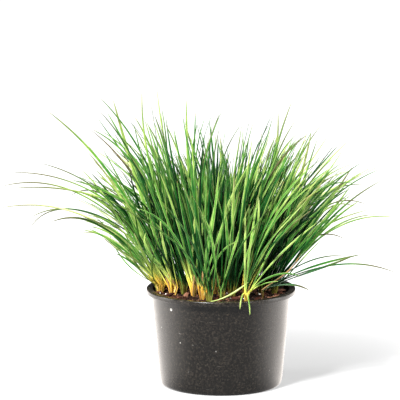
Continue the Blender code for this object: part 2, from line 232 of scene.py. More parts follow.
def new_group(
    name: str, takes: dict[str, float], gives: Sequence[str]
) -> tuple[Graph, dict[str, Socket], bpy.types.Node]:
    """Starts a shader node group.

    Args:
        name: The group's name.
        takes: The numeric inputs and their defaults. One named Vector is a vector.
        gives: The names of the numeric outputs.

    Returns:
        Its graph, its inputs' sockets by name, and its output node.
    """
    tree = bpy.data.node_groups.new(name, "ShaderNodeTree")
    for label, default in takes.items():
        kind = "NodeSocketVector" if label == "Vector" else "NodeSocketFloat"
        socket = tree.interface.new_socket(name=label, in_out="INPUT", socket_type=kind)
        if label != "Vector":
            socket.default_value = default
    for label in gives:
        tree.interface.new_socket(name=label, in_out="OUTPUT", socket_type="NodeSocketFloat")
    graph = Graph(tree)
    entry = graph.node("NodeGroupInput")
    leave = graph.node("NodeGroupOutput")
    return graph, {label: entry.outputs[label] for label in takes}, leave


@dataclass(frozen=True)
class SharedEffects:
    """The node groups that several materials use."""

    fibres: bpy.types.NodeTree
    mottle: bpy.types.NodeTree
    settled_dust: bpy.types.NodeTree

    @classmethod
    def build(cls) -> "SharedEffects":
        """Makes each group once."""
        return cls(cls._fibres(), cls._mottle(), cls._settled_dust())

    @staticmethod
    def _fibres() -> bpy.types.NodeTree:
        """Fine lines along a piece: noise that is stretched out along it and dense across it.

        Returns:
            The group. It gives the lines as shades, and a height in which the streaks lie over even ribs.
        """
        takes = {"Across": 0.0, "Along": 0.0, "Seed": 0.0, "Lines": 9.0, "Breaks": 3.0}
        graph, entry, leave = new_group("fibres", takes, ("Lines", "Height"))
        apart_by_seed, rib_share = 37, 0.6
        wide = graph.math("MULTIPLY", entry["Across"], entry["Lines"])
        long = graph.math("MULTIPLY", entry["Along"], entry["Breaks"])
        apart = graph.math("MULTIPLY", entry["Seed"], apart_by_seed)
        place = graph.node("ShaderNodeCombineXYZ", {"X": wide, "Y": long, "Z": apart}).outputs[0]
        streaks = graph.noise(place, 1.0, 3, 0.6)
        wave = graph.math("SINE", graph.math("MULTIPLY", wide, math.pi))
        ribs = graph.math("MULTIPLY_ADD", wave, 0.5, 0.5)
        low_streaks = graph.math("MULTIPLY", streaks, 1 - rib_share)
        graph.feed(leave.inputs["Lines"], streaks)
        graph.feed(leave.inputs["Height"], graph.math("MULTIPLY_ADD", ribs, rib_share, low_streaks))
        return graph.tree

    @staticmethod
    def _mottle() -> bpy.types.NodeTree:
        """Soft patches: a noise of five octaves, brought to a contrast about its middle.

        Returns:
            The group.
        """
        takes = {"Vector": 0.0, "Scale": 40.0, "Contrast": 1.0}
        graph, entry, leave = new_group("mottle", takes, ("Patches",))
        full_contrast = 2.4
        shifted = graph.math("SUBTRACT", graph.noise(entry["Vector"], entry["Scale"], 5.0, 0.6), 0.5)
        contrast = graph.math("MULTIPLY", entry["Contrast"], full_contrast)
        wide = graph.math("MULTIPLY_ADD", shifted, contrast, 0.5)
        graph.feed(leave.inputs["Patches"], graph.node("ShaderNodeClamp", {"Value": wide}).outputs[0])
        return graph.tree

    @staticmethod
    def _settled_dust() -> bpy.types.NodeTree:
        """What settles on a surface: most where the surface faces up, broken up by noise.

        Returns:
            The group.
        """
        takes = {"Vector": 0.0, "Amount": 0.5, "Scale": 300.0}
        graph, entry, leave = new_group("settled_dust", takes, ("Dust",))
        facing = graph.span(graph.level(graph.node("ShaderNodeNewGeometry").outputs["Normal"]), -0.2, 0.9)
        specks = graph.span(graph.noise(entry["Vector"], entry["Scale"], 6.0, 0.7), 0.48, 0.7)
        laid = graph.math("MULTIPLY", graph.math("MULTIPLY", facing, specks), entry["Amount"])
        graph.feed(leave.inputs["Dust"], laid)
        return graph.tree


def new_material(name: str, shine: float) -> tuple[bpy.types.Material, Graph, bpy.types.Node]:
    """Starts a material.

    Args:
        name: Its name.
        shine: How strongly its surface mirrors, as the shader's specular level.

    Returns:
        The material, its graph and its Principled shader.
    """
    made = bpy.data.materials.new(name)
    made.use_nodes = True
    shader = made.node_tree.nodes["Principled BSDF"]
    shader.inputs["Specular IOR Level"].default_value = shine
    return made, Graph(made.node_tree), shader


@dataclass(frozen=True)
class LeafFinish:
    """A waxy sword leaf: orange or pink at the foot, then yellow, then green, with a fine grain of veins.

    The tone attribute picks the green, with painted light and painted shade worked into it. Pale and blush say
    how much of the foot's colours shows, dusk darkens the leaf towards its tip, and dry brings in the straw
    colour of dead leaf. The thin edges carry a painted highlight, and the foot's edges a painted crevice
    shade.
    """

    greens: Shades = (
        (0.0, (0.001, 0.012, 0.003)),
        (0.24, (0.005, 0.070, 0.010)),
        (0.45, (0.057, 0.193, 0.022)),
        (0.68, (0.270, 0.380, 0.080)),
        (1.0, (0.740, 0.740, 0.420)),
    )
    foot_orange: Colour = (0.98, 0.40, 0.03)
    foot_blush: Colour = (1.0, 0.68, 0.34)
    pale: Colour = (1.0, 0.82, 0.12)
    lime: Colour = (0.64, 0.72, 0.14)
    # Brown of the painted crevice shade along the foot's edges.
    foot_crevice_shade: Colour = (0.110, 0.045, 0.010)
    foot_root: Colour = (0.60, 0.20, 0.045)
    # Colour of the painted highlight along the leaves' thin edges.
    edge: Colour = (0.50, 0.60, 0.24)
    dusk: Colour = (0.085, 0.072, 0.034)
    straw: Colour = (0.45, 0.29, 0.11)
    dead_brown: Colour = (0.13, 0.060, 0.028)
    roughness: tuple[float, float] = (0.22, 0.36)
    shine: float = 0.07
    vein_lines: float = 5.0
    vein_height: float = 0.12 * MM
    vein_contrast: float = 0.65
    patch_scale: float = 60.0
    patch_contrast: float = 0.30
    dusk_strength: float = 0.85
    # How strong the painted crevice shade is.
    crevice_shade_strength: float = 0.42

    def build(self, shared: SharedEffects) -> bpy.types.Material:
        """Wires the material.

        Args:
            shared: The node groups.

        Returns:
            The material.
        """
        made, graph, shader = new_material("leaf", self.shine)
        across, seed = graph.attribute("across"), graph.attribute("seed")
        lined = {"Across": across, "Along": graph.attribute("along"), "Seed": seed, "Lines": self.vein_lines}
        veins = graph.group(shared.fibres, lined)
        mottled = {"Vector": graph.place(), "Scale": self.patch_scale, "Contrast": 0.9}
        patches = graph.group(shared.mottle, mottled)["Patches"]
        green = self._green(graph, veins["Lines"], patches, across)
        living = self._foot(graph, green, seed, veins["Lines"], across)
        dead = graph.mix(veins["Lines"], self.dead_brown, self.straw)
        wither = graph.math("ADD", graph.attribute("dry"), graph.math("MULTIPLY", patches, 0.3))
        withered = graph.span(wither, 0.5, 0.8)
        graph.feed(shader.inputs["Base Color"], graph.mix(withered, living, dead))
        rough = graph.span(graph.math("ADD", patches, withered), 0, 1.2, *self.roughness)
        graph.feed(shader.inputs["Roughness"], rough)
        graph.feed(shader.inputs["Normal"], graph.bump(veins["Height"], 0.5, self.vein_height))
        return made

    def _green(self, graph: Graph, lines: Socket, patches: Socket, across: Socket) -> Socket:
        """The leaf's own green, lined by its veins and patchy, with a painted highlight along its thin edges.

        Args:
            graph: The material's graph.
            lines: The veins as shades.
            patches: The soft patches.
            across: Where a point is across the leaf, from -1 to 1.

        Returns:
            The colour.
        """
        # The tone carries painted light and painted shade along with the leaf's own green.
        tone = graph.attribute("tone")
        patchy = graph.varied(tone, patches, self.patch_contrast)
        green = graph.ramp(graph.varied(patchy, lines, self.vein_contrast), self.greens)
        # Painted highlight: the thin edges turn to a light colour, the more so the lighter the leaf.
        rim = graph.span(graph.math("ABSOLUTE", across), 0.62, 1.0)
        bright = graph.span(tone, 0.05, 0.65, 0.02, 0.7)
        with_edge_highlight = graph.mix(graph.math("MULTIPLY", rim, bright), green, self.edge)
        dusk = graph.math("MULTIPLY", graph.attribute("dusk"), self.dusk_strength)
        return graph.mix(dusk, with_edge_highlight, self.dusk)

    def _foot(self, graph: Graph, green: Socket, seed: Socket, lines: Socket, across: Socket) -> Socket:
        """The green, and under it the lime, the yellow, and the orange or pink of the foot, with a brown
        painted crevice shade along the foot's edges.

        Args:
            graph: The material's graph.
            green: The leaf's own green.
            seed: The leaf's own number, which picks orange or pink.
            lines: The veins as shades, which make the stretches run into each other.
            across: Where a point is across the leaf, from -1 to 1.

        Returns:
            The colour.
        """
        pale = graph.attribute("pale")
        rise = graph.varied(graph.attribute("rise"), lines, 0.35)
        fade = graph.math("MULTIPLY", graph.span(rise, 1.0, 0.25), pale)
        colour = graph.mix(fade, green, graph.mix(graph.span(rise, 0.08, 0.42), self.pale, self.lime))
        warm = graph.mix(graph.span(seed, 0.55, 0.8), self.foot_orange, self.foot_blush)
        warm = graph.mix(graph.span(rise, 0.02, -0.2), warm, self.foot_root)
        blush = graph.math("MULTIPLY", graph.span(rise, 0.26, -0.04), graph.attribute("blush"))
        colour = graph.mix(blush, colour, warm)
        # Painted crevice shade: brown darkening along each leaf's edges low on the foot, where the leaves
        # press together.
        side = graph.span(graph.math("ABSOLUTE", across), 0.35, 0.9)
        crevice_shade = graph.math("MULTIPLY", graph.math("MULTIPLY", side, graph.span(rise, 0.7, 0.1)), pale)
        return graph.mix(graph.math("MULTIPLY", crevice_shade, self.crevice_shade_strength), colour, self.foot_crevice_shade)


@dataclass(frozen=True)
class PotFinish:
    """Black nursery plastic, half gloss: scuffed, splashed with dried mix, with a few specks of lime.

    The scratches run round the pot and the rubs run down it, so their noise is stretched that way.
    """

    black: Colour = (0.003, 0.0025, 0.002)
    worn: Colour = (0.110, 0.100, 0.088)
    grime: Colour = (0.040, 0.032, 0.024)
    splash: Colour = (0.17, 0.125, 0.085)
    lime_scale: Colour = (0.62, 0.60, 0.56)
    scratch_scale: tuple[float, float, float] = (160, 160, 900)
    rub_scale: tuple[float, float, float] = (900, 900, 60)
    grime_scale: float = 430.0
    splash_scale: float = 230.0
    speck_scale: float = 95.0
    dust_scale: float = 420.0
    grain_scale: float = 900.0
    scuff_at: tuple[float, float, float] = (-55 * MM, -52 * MM, 94 * MM)
    scuff_size: float = 6 * MM
    splashed_from: float = 50 * MM
    splashed_to: float = 108 * MM
    roughness: tuple[float, float] = (0.24, 0.46)
    shine: float = 0.35

    def build(self, shared: SharedEffects) -> bpy.types.Material:
        """Wires the material.

        Args:
            shared: The node groups.

        Returns:
            The material.
        """
        made, graph, shader = new_material("pot_plastic_worn", self.shine)
        place = graph.place()
        patches = graph.group(shared.mottle, {"Vector": place, "Scale": 28.0, "Contrast": 1.0})["Patches"]
        marks = self._marks(graph, place)
        blotches = graph.span(graph.noise(place, self.grime_scale, 6, 0.75), 0.46, 0.74)
        colour = graph.mix(blotches, self.black, self.grime)
        colour = graph.mix(graph.math("MULTIPLY", marks, 0.45), colour, self.worn)
        splashes = graph.span(graph.noise(place, self.splash_scale, 6, 0.72), 0.60, 0.72)
        high = graph.span(graph.level(place), self.splashed_from, self.splashed_to)
        splashed = graph.math("MULTIPLY", splashes, high)
        colour = graph.mix(graph.math("MULTIPLY", splashed, 0.5), colour, self.splash)
        colour = self._limed(graph, place, patches, colour)
        dusted = {"Vector": place, "Amount": 0.35, "Scale": self.dust_scale}
        dust = graph.group(shared.settled_dust, dusted)["Dust"]
        graph.feed(shader.inputs["Base Color"], graph.mix(dust, colour, self.splash))
        stains = graph.math("ADD", graph.math("MULTIPLY", blotches, 0.5), graph.math("ADD", splashed, dust))
        dull = graph.math("ADD", graph.math("MULTIPLY", patches, 0.5), stains)
        graph.feed(shader.inputs["Roughness"], graph.span(dull, 0, 1.3, *self.roughness))
        grain = graph.math("MULTIPLY", graph.noise(place, self.grain_scale, 2, 0.5), 0.35)
        height = graph.math("SUBTRACT", grain, graph.math("MULTIPLY", marks, 0.5))
        graph.feed(shader.inputs["Normal"], graph.bump(height, 0.25, 0.15 * MM))
        return made

    def _marks(self, graph: Graph, place: Socket) -> Socket:
        """The scratches round the pot and the fainter rubs down it.

        Args:
            graph: The material's graph.
            place: Where a point is.

        Returns:
            Where they are, from 0 to 1.
        """
        scratches = graph.noise(graph.stretched(place, self.scratch_scale), 1.0, 5, 0.7)
        rubs = graph.noise(graph.stretched(place, self.rub_scale), 1.0, 4, 0.65)
        faint = graph.math("MULTIPLY", graph.span(rubs, 0.62, 0.78), 0.6)
        return graph.math("MAXIMUM", graph.span(scratches, 0.58, 0.74), faint)

    def _limed(self, graph: Graph, place: Socket, patches: Socket, under: Socket) -> Socket:
        """Lime on the plastic: round specks in some patches, and one scuff with a ragged edge.

        Args:
            graph: The material's graph.
            place: Where a point is.
            patches: The soft patches.
            under: The colour so far.

        Returns:
            The colour with the lime on it.
        """
        cells = graph.node("ShaderNodeTexVoronoi", {"Vector": place, "Scale": self.speck_scale})
        dots = graph.span(cells.outputs["Distance"], 0.09, 0.05)
        specks = graph.math("MULTIPLY", dots, graph.span(patches, 0.6, 0.75))
        colour = graph.mix(graph.math("MULTIPLY", specks, 0.8), under, self.lime_scale)
        reach = graph.node("ShaderNodeVectorMath", operation="DISTANCE")
        graph.feed(reach.inputs[0], place)
        graph.feed(reach.inputs[1], self.scuff_at)
        near = graph.span(reach.outputs["Value"], self.scuff_size, 0.0)
        ragged = graph.math("MULTIPLY", near, graph.noise(place, self.grain_scale, 3, 0.8))
        return graph.mix(graph.span(ragged, 0.36, 0.5, 0, 0.8), colour, self.lime_scale)


@dataclass(frozen=True)
class MixFinish:
    """Moist potting mix or what lies in it: a dark crumb, with its own shade for each loose piece."""

    name: str
    shades: Shades
    roughness: float = 0.9
    grain: float = 700.0
    fibrous: bool = False
    shine: float = 0.12
    patch_scale: float = 210.0
    grain_height: float = 0.5 * MM

    def build(self, shared: SharedEffects) -> bpy.types.Material:
        """Wires the material.

        Args:
            shared: The node groups.

        Returns:
            The material.
        """
        made, graph, shader = new_material(self.name, self.shine)
        place, shade = graph.place(), graph.attribute("shade")
        mottled = {"Vector": place, "Scale": self.patch_scale, "Contrast": 1.1}
        patches = graph.group(shared.mottle, mottled)["Patches"]
        shifted = graph.math("MULTIPLY", graph.math("SUBTRACT", patches, 0.5), 0.5)
        colour = graph.ramp(graph.math("ADD", shade, shifted), self.shades)
        height = graph.noise(place, self.grain, 5, 0.7)
        if self.fibrous:
            fibrous = {"Across": graph.attribute("across"), "Along": graph.attribute("along"), "Seed": shade}
            fibres = graph.group(shared.fibres, {**fibrous, "Lines": 5.0, "Breaks": 2.0})
            colour = graph.mix(graph.math("MULTIPLY", fibres["Lines"], 0.6), colour, self.shades[0][1])
            height = graph.math("ADD", height, fibres["Height"])
        graph.feed(shader.inputs["Base Color"], colour)
        rough = graph.span(patches, 0, 1, self.roughness - 0.2, self.roughness)
        graph.feed(shader.inputs["Roughness"], rough)
        graph.feed(shader.inputs["Normal"], graph.bump(height, 0.8, self.grain_height))
        return made


SOIL_FINISH = MixFinish(
    "potting_mix_moist",
    ((0.0, (0.003, 0.0015, 0.001)), (0.45, (0.012, 0.005, 0.003)), (1.0, (0.045, 0.020, 0.011))),
)
CRUMB_FINISH = MixFinish(
    "mix_crumb",
    ((0.0, (0.004, 0.002, 0.0015)), (0.6, (0.020, 0.008, 0.005)), (1.0, (0.09, 0.045, 0.026))),
)
BARK_FINISH = MixFinish(
    "mix_bark",
    ((0.0, (0.015, 0.004, 0.002)), (0.6, (0.070, 0.020, 0.010)), (1.0, (0.30, 0.14, 0.085))),
    roughness=0.8,
    grain=500.0,
    fibrous=True,
)
GRIT_FINISH = MixFinish(
    "mix_grit",
    ((0.0, (0.42, 0.38, 0.33)), (1.0, (0.80, 0.78, 0.73))),
    roughness=0.95,
    grain=1200.0,
)


def put_mesh(
    name: str, points: Array, faces: Iterable[Sequence[int]], values: dict[str, Array]
) -> bpy.types.Object:
    """Puts a worked-out surface into the scene as one smooth piece.

    Args:
        name: The piece's name.
        points: Its points, one row each.
        faces: Its faces, as indices of points.
        values: Its point attributes, one number for each point.

    Returns:
        The object.
    """
    mesh = bpy.data.meshes.new(name)
    mesh.from_pydata(points.tolist(), [], [list(face) for face in faces])
    for label, numbers in values.items():
        mesh.attributes.new(label, "FLOAT", "POINT").data.foreach_set("value", numbers.astype(np.float32))
    mesh.shade_smooth()
    mesh.update()
    made = bpy.data.objects.new(name, mesh)
    bpy.context.scene.collection.objects.link(made)
    return made


def tube_faces(rings: int, around: int, closed_ends: bool = True) -> list[list[int]]:
    """The faces of a closed tube on a grid of rings, wound so that they point outwards.

    Args:
        rings: How many rings there are along it.
        around: How many points each ring has, counted anticlockwise as seen from the tube's far end.
        closed_ends: Whether each end gets a face.

    Returns:
        The faces, as indices of the grid's points in row order.
    """
    ring, place = np.meshgrid(np.arange(rings - 1), np.arange(around), indexing="ij")
    here = ring * around + place
    after = ring * around + (place + 1) % around
    faces = np.stack([here, after, after + around, here + around], axis=-1).reshape(-1, 4).tolist()
    if closed_ends:
        faces.append(list(range(around))[::-1])
        faces.append(list(range((rings - 1) * around, rings * around)))
    return faces


def unit(vectors: Array) -> Array:
    """Each row at length one."""
    return vectors / np.maximum(np.linalg.norm(vectors, axis=-1, keepdims=True), 1e-12)


def circle(count: int) -> Array:
    """The angles of this many places round a circle."""
    return 2 * np.pi * np.arange(count) / count


@dataclass
class Leaf:
    """One sword leaf: a flat ridged section carried along a cubic line, from its foot to its point.

    The line holds the cubic's four terms, and the leaf takes it up to its reach. The sides are the
    directions across the blade at some shares of the line. The narrow foot goes over to the blade within the
    share settles, and runs on below by sink, towards the crown by gather. Tone is the leaf's green; painted
    light brightens it towards the tip and painted shade darkens it towards the foot. Pallor is how much of the
    foot's colours shows, and uneven is how differently high they reach from leaf to leaf. Dusk darkens the
    tip, and dry is how withered the leaf is. Leaves with the higher seeds are browned at their tips.
    """

    line: Array
    side_shares: Array
    sides: Array
    width: float
    reach: float = 1.0
    tone: float = 0.4
    seed: float = 0.5
    dry: float = 0.0
    foot: Foot = Foot.GREEN
    thickness: float = 2.0 * MM
    sink: float = 10 * MM
    foot_width: float = 1.4 * MM
    foot_depth: float = 1.3 * MM
    settles: float = 0.6
    point: float = 1.15 * MM
    pallor: float = 1.0
    dusk: float = 0.4
    # Painted shade darkens the tone towards the foot, and painted light brightens it towards the tip.
    shaded: float = 0.0
    painted_light: float = 0.12
    uneven: float = 9 * MM
    crown: Array | None = None
    gather: float = 0.5
    rings: int = 30
    section: tuple[float, ...] = (1, 0.8, 0.3, 0, -0.3, -0.8, -1, -0.8, -0.3, 0, 0.3, 0.8)
    last_ring: float = 0.996
    sunk_at: tuple[float, float] = (1.0, 0.5)
    sunk_width: tuple[float, float] = (0.82, 0.95)
    sunk_depth: tuple[float, float] = (1.05, 1.1)
    browned_seeds: float = 0.55
    browned_from: float = 0.93
    brownest: float = 0.62

    def at(self, shares: Array) -> Array:
        """Points of the middle line: the cubic's four terms added up at each share of the leaf's length."""
        powers = np.stack([(shares * self.reach) ** k for k in range(4)], axis=-1)
        return powers @ self.line

    def surface(self) -> tuple[Array, dict[str, Array]]:
        """Works the leaf out.

        The section at each share is a low diamond: its thickness falls from a ridge down the middle to thin
        edges. Its width is the sine of half a turn times the share to the power 0.8, all to the power 0.55,
        which is full at two fifths of the length, and it is never less than the point's until the very end.
        Below the foot two more rings run down and in towards the middle of the shoot's crown.

        Returns:
            The points, ring after ring, and the point attributes.
        """
        above = np.linspace(0, 1, self.rings) ** 0.9
        above[-1] = self.last_ring
        centre = self.at(above)
        length = float(np.linalg.norm(np.diff(centre, axis=0), axis=1).sum())
        tangent = unit(np.gradient(centre, axis=0))
        places = above * self.reach
        side = np.stack([np.interp(places, self.side_shares, self.sides[:, k]) for k in range(3)], axis=-1)
        side = unit(side - (side * tangent).sum(1, keepdims=True) * tangent)
        face = np.cross(tangent, side)
        settled = np.clip(above / self.settles, 0, 1)
        settled = settled**2 * (3 - 2 * settled)
        blade = np.hypot(np.sin(np.pi * above**0.8) ** 0.55 * self.width, self.point * (1 - above**16))
        wide = self.foot_width * (1 - settled) + blade * settled
        deep = self.foot_depth * (1 - settled) + self.thickness * (1.2 - 0.8 * above) * settled
        below = np.array(self.sunk_at)
        inward = np.zeros(3) if self.crown is None else (self.crown - centre[0]) * [1, 1, 0]
        under = centre[0] + below[:, None] * (inward * self.gather - np.array([0, 0, self.sink]))
        centre = np.vstack([under, centre])
        side = np.vstack([side[:1], side[:1], side])
        face = np.vstack([face[:1], face[:1], face])
        wide = np.concatenate([self.foot_width * np.array(self.sunk_width), wide])
        deep = np.concatenate([self.foot_depth * np.array(self.sunk_depth), deep])
        across = np.array(self.section, float)
        upper = np.where(np.arange(len(across)) < len(across) / 2, 1, -1)
        ridge = (1 - np.abs(across) ** 1.1) * upper
        points = (
            centre[:, None]
            + side[:, None] * (across[None, :, None] * wide[:, None, None] / 2)
            + face[:, None] * (ridge[None, :, None] * deep[:, None, None] / 2)
        )
        share = np.concatenate([[0, 0], above])
        climb = np.concatenate([-self.sink * below, above * length])
        return points.reshape(-1, 3), self._shades(share[:, None], climb[:, None], across[None, :])

    def _shades(self, share: Array, climb: Array, across: Array) -> dict[str, Array]:
        """Works out what the leaf's finish reads.

        Rise is the way up from the foot as a share of the foot's pale stretch. Dusk comes in over a fifth of
        the leaf, and starts the lower down the darker it is. Some leaves have a browned tip. Tone is the
        leaf's green with painted light towards the tip and painted shade towards the foot.

        Args:
            share: Each ring's share of the leaf, 0 at the foot and below it, as a column.
            climb: Each ring's way from the foot along the leaf, less than 0 below it, as a column.
            across: The section's places from -1 to 1, as a row.

        Returns:
            The point attributes by name, one number for each point.
        """
        pale_length, pale, blush = self.foot.value
        browned = np.clip((share - self.browned_from) * 9, 0, self.brownest)
        browned = browned * (self.seed > self.browned_seeds)
        values = {
            "along": share * self.rings / 10,
            "across": across,
            "rise": (climb + self.uneven * (self.seed - 0.5)) / pale_length,
            # The leaf's green, with painted light towards the tip and painted shade towards the foot.
            "tone": self.tone + self.painted_light * share - self.shaded * (1 - share) ** 1.5,
            "seed": self.seed,
            "pale": pale * self.pallor,
            "blush": blush * self.pallor,
            "dry": np.maximum(self.dry, browned),
            "dusk": np.clip((share - 0.88 + 0.25 * self.dusk) / 0.2, 0, 1) * self.dusk,
        }
        grid = np.ones((len(share), across.shape[1]))
        return {label: (numbers * grid).reshape(-1) for label, numbers in values.items()}


class Thicket:
    """The middle lines of the leaves that stand, which a further leaf keeps clear of."""

    def __init__(self, spare: float) -> None:
        """Starts empty.

        Args:
            spare: The distance that lines keep from each other.
        """
        self.spare = spare
        self.noted = np.linspace(0.12, 1, 48)
        self.tested = np.linspace(0.16, 1, 40)
        self.settled: list[Array] = []
        self.fresh: list[Array] = []
        self.tree: KDTree | None = None

    def add(self, leaf: Leaf) -> None:
        """Notes a leaf's line, from a little above its foot."""
        self.fresh.append(leaf.at(self.noted))

    def settle(self) -> None:
        """Puts the leaves that came since the last time into one search tree with the others."""
        self.settled += self.fresh
        self.fresh = []
        points = np.concatenate(self.settled)
        self.tree = KDTree(len(points))
        for index, point in enumerate(points):
            self.tree.insert(Vector(point), index)
        self.tree.balance()

    def clear(self, leaf: Leaf) -> bool:
        """Tests a leaf's line: each of its points has to be the spare or more from any other line's.

        Args:
            leaf: The further leaf.

        Returns:
            Whether it keeps clear of every other.
        """
        line = leaf.at(self.tested)
        if self.fresh:
            gaps = np.linalg.norm(line[:, None] - np.concatenate(self.fresh)[None], axis=-1)
            if gaps.min() < self.spare:
                return False
        return all(self.tree.find(Vector(point))[2] > self.spare for point in line)


def merged(mesh: bpy.types.Mesh) -> tuple[Array, Array]:
    """Makes a solid's points that are in one place into one point.

    Args:
        mesh: The solid.

    Returns:
        The points, and the solid's triangles as indices of them.
    """
    points = np.empty(len(mesh.vertices) * 3, np.float32)
    mesh.vertices.foreach_get("co", points)
    mesh.calc_loop_triangles()
    faces = np.empty(len(mesh.loop_triangles) * 3, np.int32)
    mesh.loop_triangles.foreach_get("vertices", faces)
    places, index = np.unique(np.round(points.reshape(-1, 3), 6), axis=0, return_inverse=True)
    return places.astype(float), index.reshape(-1)[faces].reshape(-1, 3)


def corner_angles(points: Array, faces: Array) -> Array:
    """Works out how much surface meets at each point: the sum of its triangles' angles there.

    Args:
        points: The points.
        faces: The triangles, as indices of points.

    Returns:
        The sum for each point, in radians.
    """
    total = np.zeros(len(points))
    for k in range(3):
        here = points[faces[:, k]]
        one = unit(points[faces[:, (k + 1) % 3]] - here)
        two = unit(points[faces[:, (k + 2) % 3]] - here)
        np.add.at(total, faces[:, k], np.arccos(np.clip((one * two).sum(1), -1, 1)))
    return total


@dataclass
class SolidFan:
    """What a fan's solid says of its leaves, read back from its mesh.

    The solid's rings of corners are at known shares of each leaf: more of them on a leaf of the outline than
    on one that follows the rule.
    """

    node: str
    outline_shares: tuple[float, ...] = (0.16, 0.36, 0.58, 0.80)
    rule_shares: tuple[float, ...] = (0.18, 0.44, 0.72)
    sharp: float = 0.6
    level: float = 0.002 * MM

    def leaves(self, mesh: bpy.types.Mesh) -> list[Leaf]:
        """Reads the leaves, from left to right.

        A leaf's point is where hardly any surface meets. From there each ring of four corners is found from
        the last, down to the level foot, and the cubic that fits the rings' middles best is the leaf's line.

        Args:
            mesh: The fan's solid.

        Returns:
            One leaf for each point of the solid.
        """
        points, faces = merged(mesh)
        near: list[set[int]] = [set() for _ in points]
        for a, b, c in faces.tolist():
            near[a] |= {b, c}
            near[b] |= {a, c}
            near[c] |= {a, b}
        tips = np.flatnonzero(corner_angles(points, faces) < self.sharp).tolist()
        leaves = [self._leaf(points, near, tip) for tip in tips]
        return sorted(leaves, key=lambda leaf: leaf.at(np.array([1.0]))[0, 0])

    def _leaf(self, points: Array, near: list[set[int]], tip: int) -> Leaf:
        """Follows one leaf from its point down to its foot.

        Args:
            points: The solid's points.
            near: Each point's neighbours.
            tip: The leaf's point, as an index of points.

        Returns:
            The leaf, with the line that fits its rings best and the width of its widest ring.
        """
        seen, ring, rings = {tip}, sorted(near[tip]), []
        while len(ring) == 4:
            rings.append(points[ring])
            if np.ptp(points[ring][:, 2]) < self.level:
                break
            seen |= set(ring)
            ring = sorted(set().union(*(near[k] for k in ring)) - seen)
        rings = rings[::-1]
        inner = self.outline_shares if len(rings) > 4 else self.rule_shares
        shares = np.array([0.0, *inner, 1.0])
        middles = np.array([corners.mean(0) for corners in rings] + [points[tip]])
        line = np.linalg.lstsq(np.vander(shares, 4, increasing=True), middles, rcond=None)[0]
        spans = [self._widest(corners) for corners in rings[1:]]
        for k in range(1, len(spans)):
            spans[k] *= np.sign(spans[k] @ spans[k - 1]) or 1
        width = max(float(np.linalg.norm(span)) for span in spans)
        return Leaf(line, shares[1:-1], unit(np.array(spans)), width)

    @staticmethod
    def _widest(corners: Array) -> Array:
        """Finds the longer diagonal of a ring.

        Args:
            corners: The ring's four corners.

        Returns:
            The way from one end of it to the other.
        """
        gaps = corners[None] - corners[:, None]
        first, second = np.unravel_index(np.argmax(np.linalg.norm(gaps, axis=-1)), (4, 4))
        return gaps[first, second].copy()


@dataclass(frozen=True)
class Crossing:
    """A leaf that crosses the others in front: where its tip is, and how it gets there.

    The tip, from the middle of the rim, and the width are in mm. The leaf leaves its foot at one angle above
    level and arrives at its tip at another, both in degrees. Its foot is set off from its shoot's by the
    start, in mm. Dusk darkens it from the tip down, and dry is how withered it is.
    """

    tip: tuple[float, float, float]
    leaves_at: float
    arrives_at: float
    width: float
    tone: float
    start: tuple[float, float, float] = (0, -3.5, 0)
    dusk: float = 0.2
    dry: float = 0.0


CROSSINGS = {
    "left_sweep": (
        Crossing((-66, -34, 87), 96, 98, 2.6, 0.54),
        Crossing((-82, -40, 70), 88, 118, 2.0, 0.48),
    ),
    "left_tall": (
        Crossing((-84, -34, 88), 78, 35, 2.2, 0.36),
        Crossing((-143, -30, 182), 66, 38, 1.9, 0.1, dusk=1.2),
    ),
    "left_crest": (
        Crossing((-23, -38, 136), 92, 84, 2.4, 0.54),
        Crossing((-14, -42, 118), 82, 80, 2.4, 0.44),
    ),
    "middle_left": (Crossing((-2, -32, 200), 98, 62, 2.6, 0.08, dusk=1.1),),
    "right_crest": (Crossing((93, -34, 176), 84, 36, 1.9, 0.08, dusk=1.2),),
    "right_tall": (Crossing((106, -36, 116), 64, 34, 2.8, 0.56, dry=0.42),),
    "right_sweep": (
        Crossing((137, -34, 60), 56, -32, 1.4, 0.3, dusk=1.1),
        Crossing((160, -30, 98), 62, -26, 1.4, 0.32, dusk=1.1),
    ),
    "right_low": (Crossing((87, -30, 45), 34, 70, 1.0, 0.1, dry=0.7),),
    "middle_front": (
        Crossing((10, -48, 110), 76, 76, 2.2, 0.46),
        Crossing((4, -44, 138), 86, 72, 2.4, 0.40),
        Crossing((-92, -50, 98), 62, 14, 2.0, 0.3),
        Crossing((21, -56, 63), 70, 10, 1.6, 0.36),
    ),
    "middle": (Crossing((27, -46, 141), 90, 58, 2.8, 0.52),),
    "24": (Crossing((30, -62, 19), 8, 36, 1.5, 0.66, (3, -8, -7)),),
    "18": (Crossing((32, -52, 104), 72, 66, 2.4, 0.46), Crossing((-20, -56, 92), 70, 60, 2.2, 0.4)),
    "15": (Crossing((63, -48, 133), 80, 62, 2.2, 0.46), Crossing((76, -50, 92), 66, 48, 2.0, 0.5)),
    "front_drape": (
        Crossing((26, -56, 101), 89, 92, 2.2, 0.54),
        Crossing((40, -52, 114), 86, 78, 2.2, 0.48),
        Crossing((87, -66, 25), 50, -28, 1.8, 0.30),
        Crossing((107, -44, 83), 54, 34, 1.8, 0.48),
        Crossing((88, -40, 101), 62, 44, 2.0, 0.40),
    ),
}


@dataclass(frozen=True)
class FanLook:
    """How one shoot looks: its foot, and the tones of its grown leaves from left to right, dark to bright.

    Its leaves are slimmer than the solid's by a share, and its strays' tips are moved by so many mm to the
    right and up. Dusk is the range of how much its leaves darken at their tips. A lone shoot gets no young
    leaves and no strays.
    """

    foot: Foot = Foot.GREEN
    tones: tuple[float, ...] = ()
    slim: float = 1.0
    lift: tuple[float, float] = (0, 0)
    dusk: tuple[float, float] = (0, 0.7)
    lone: bool = False


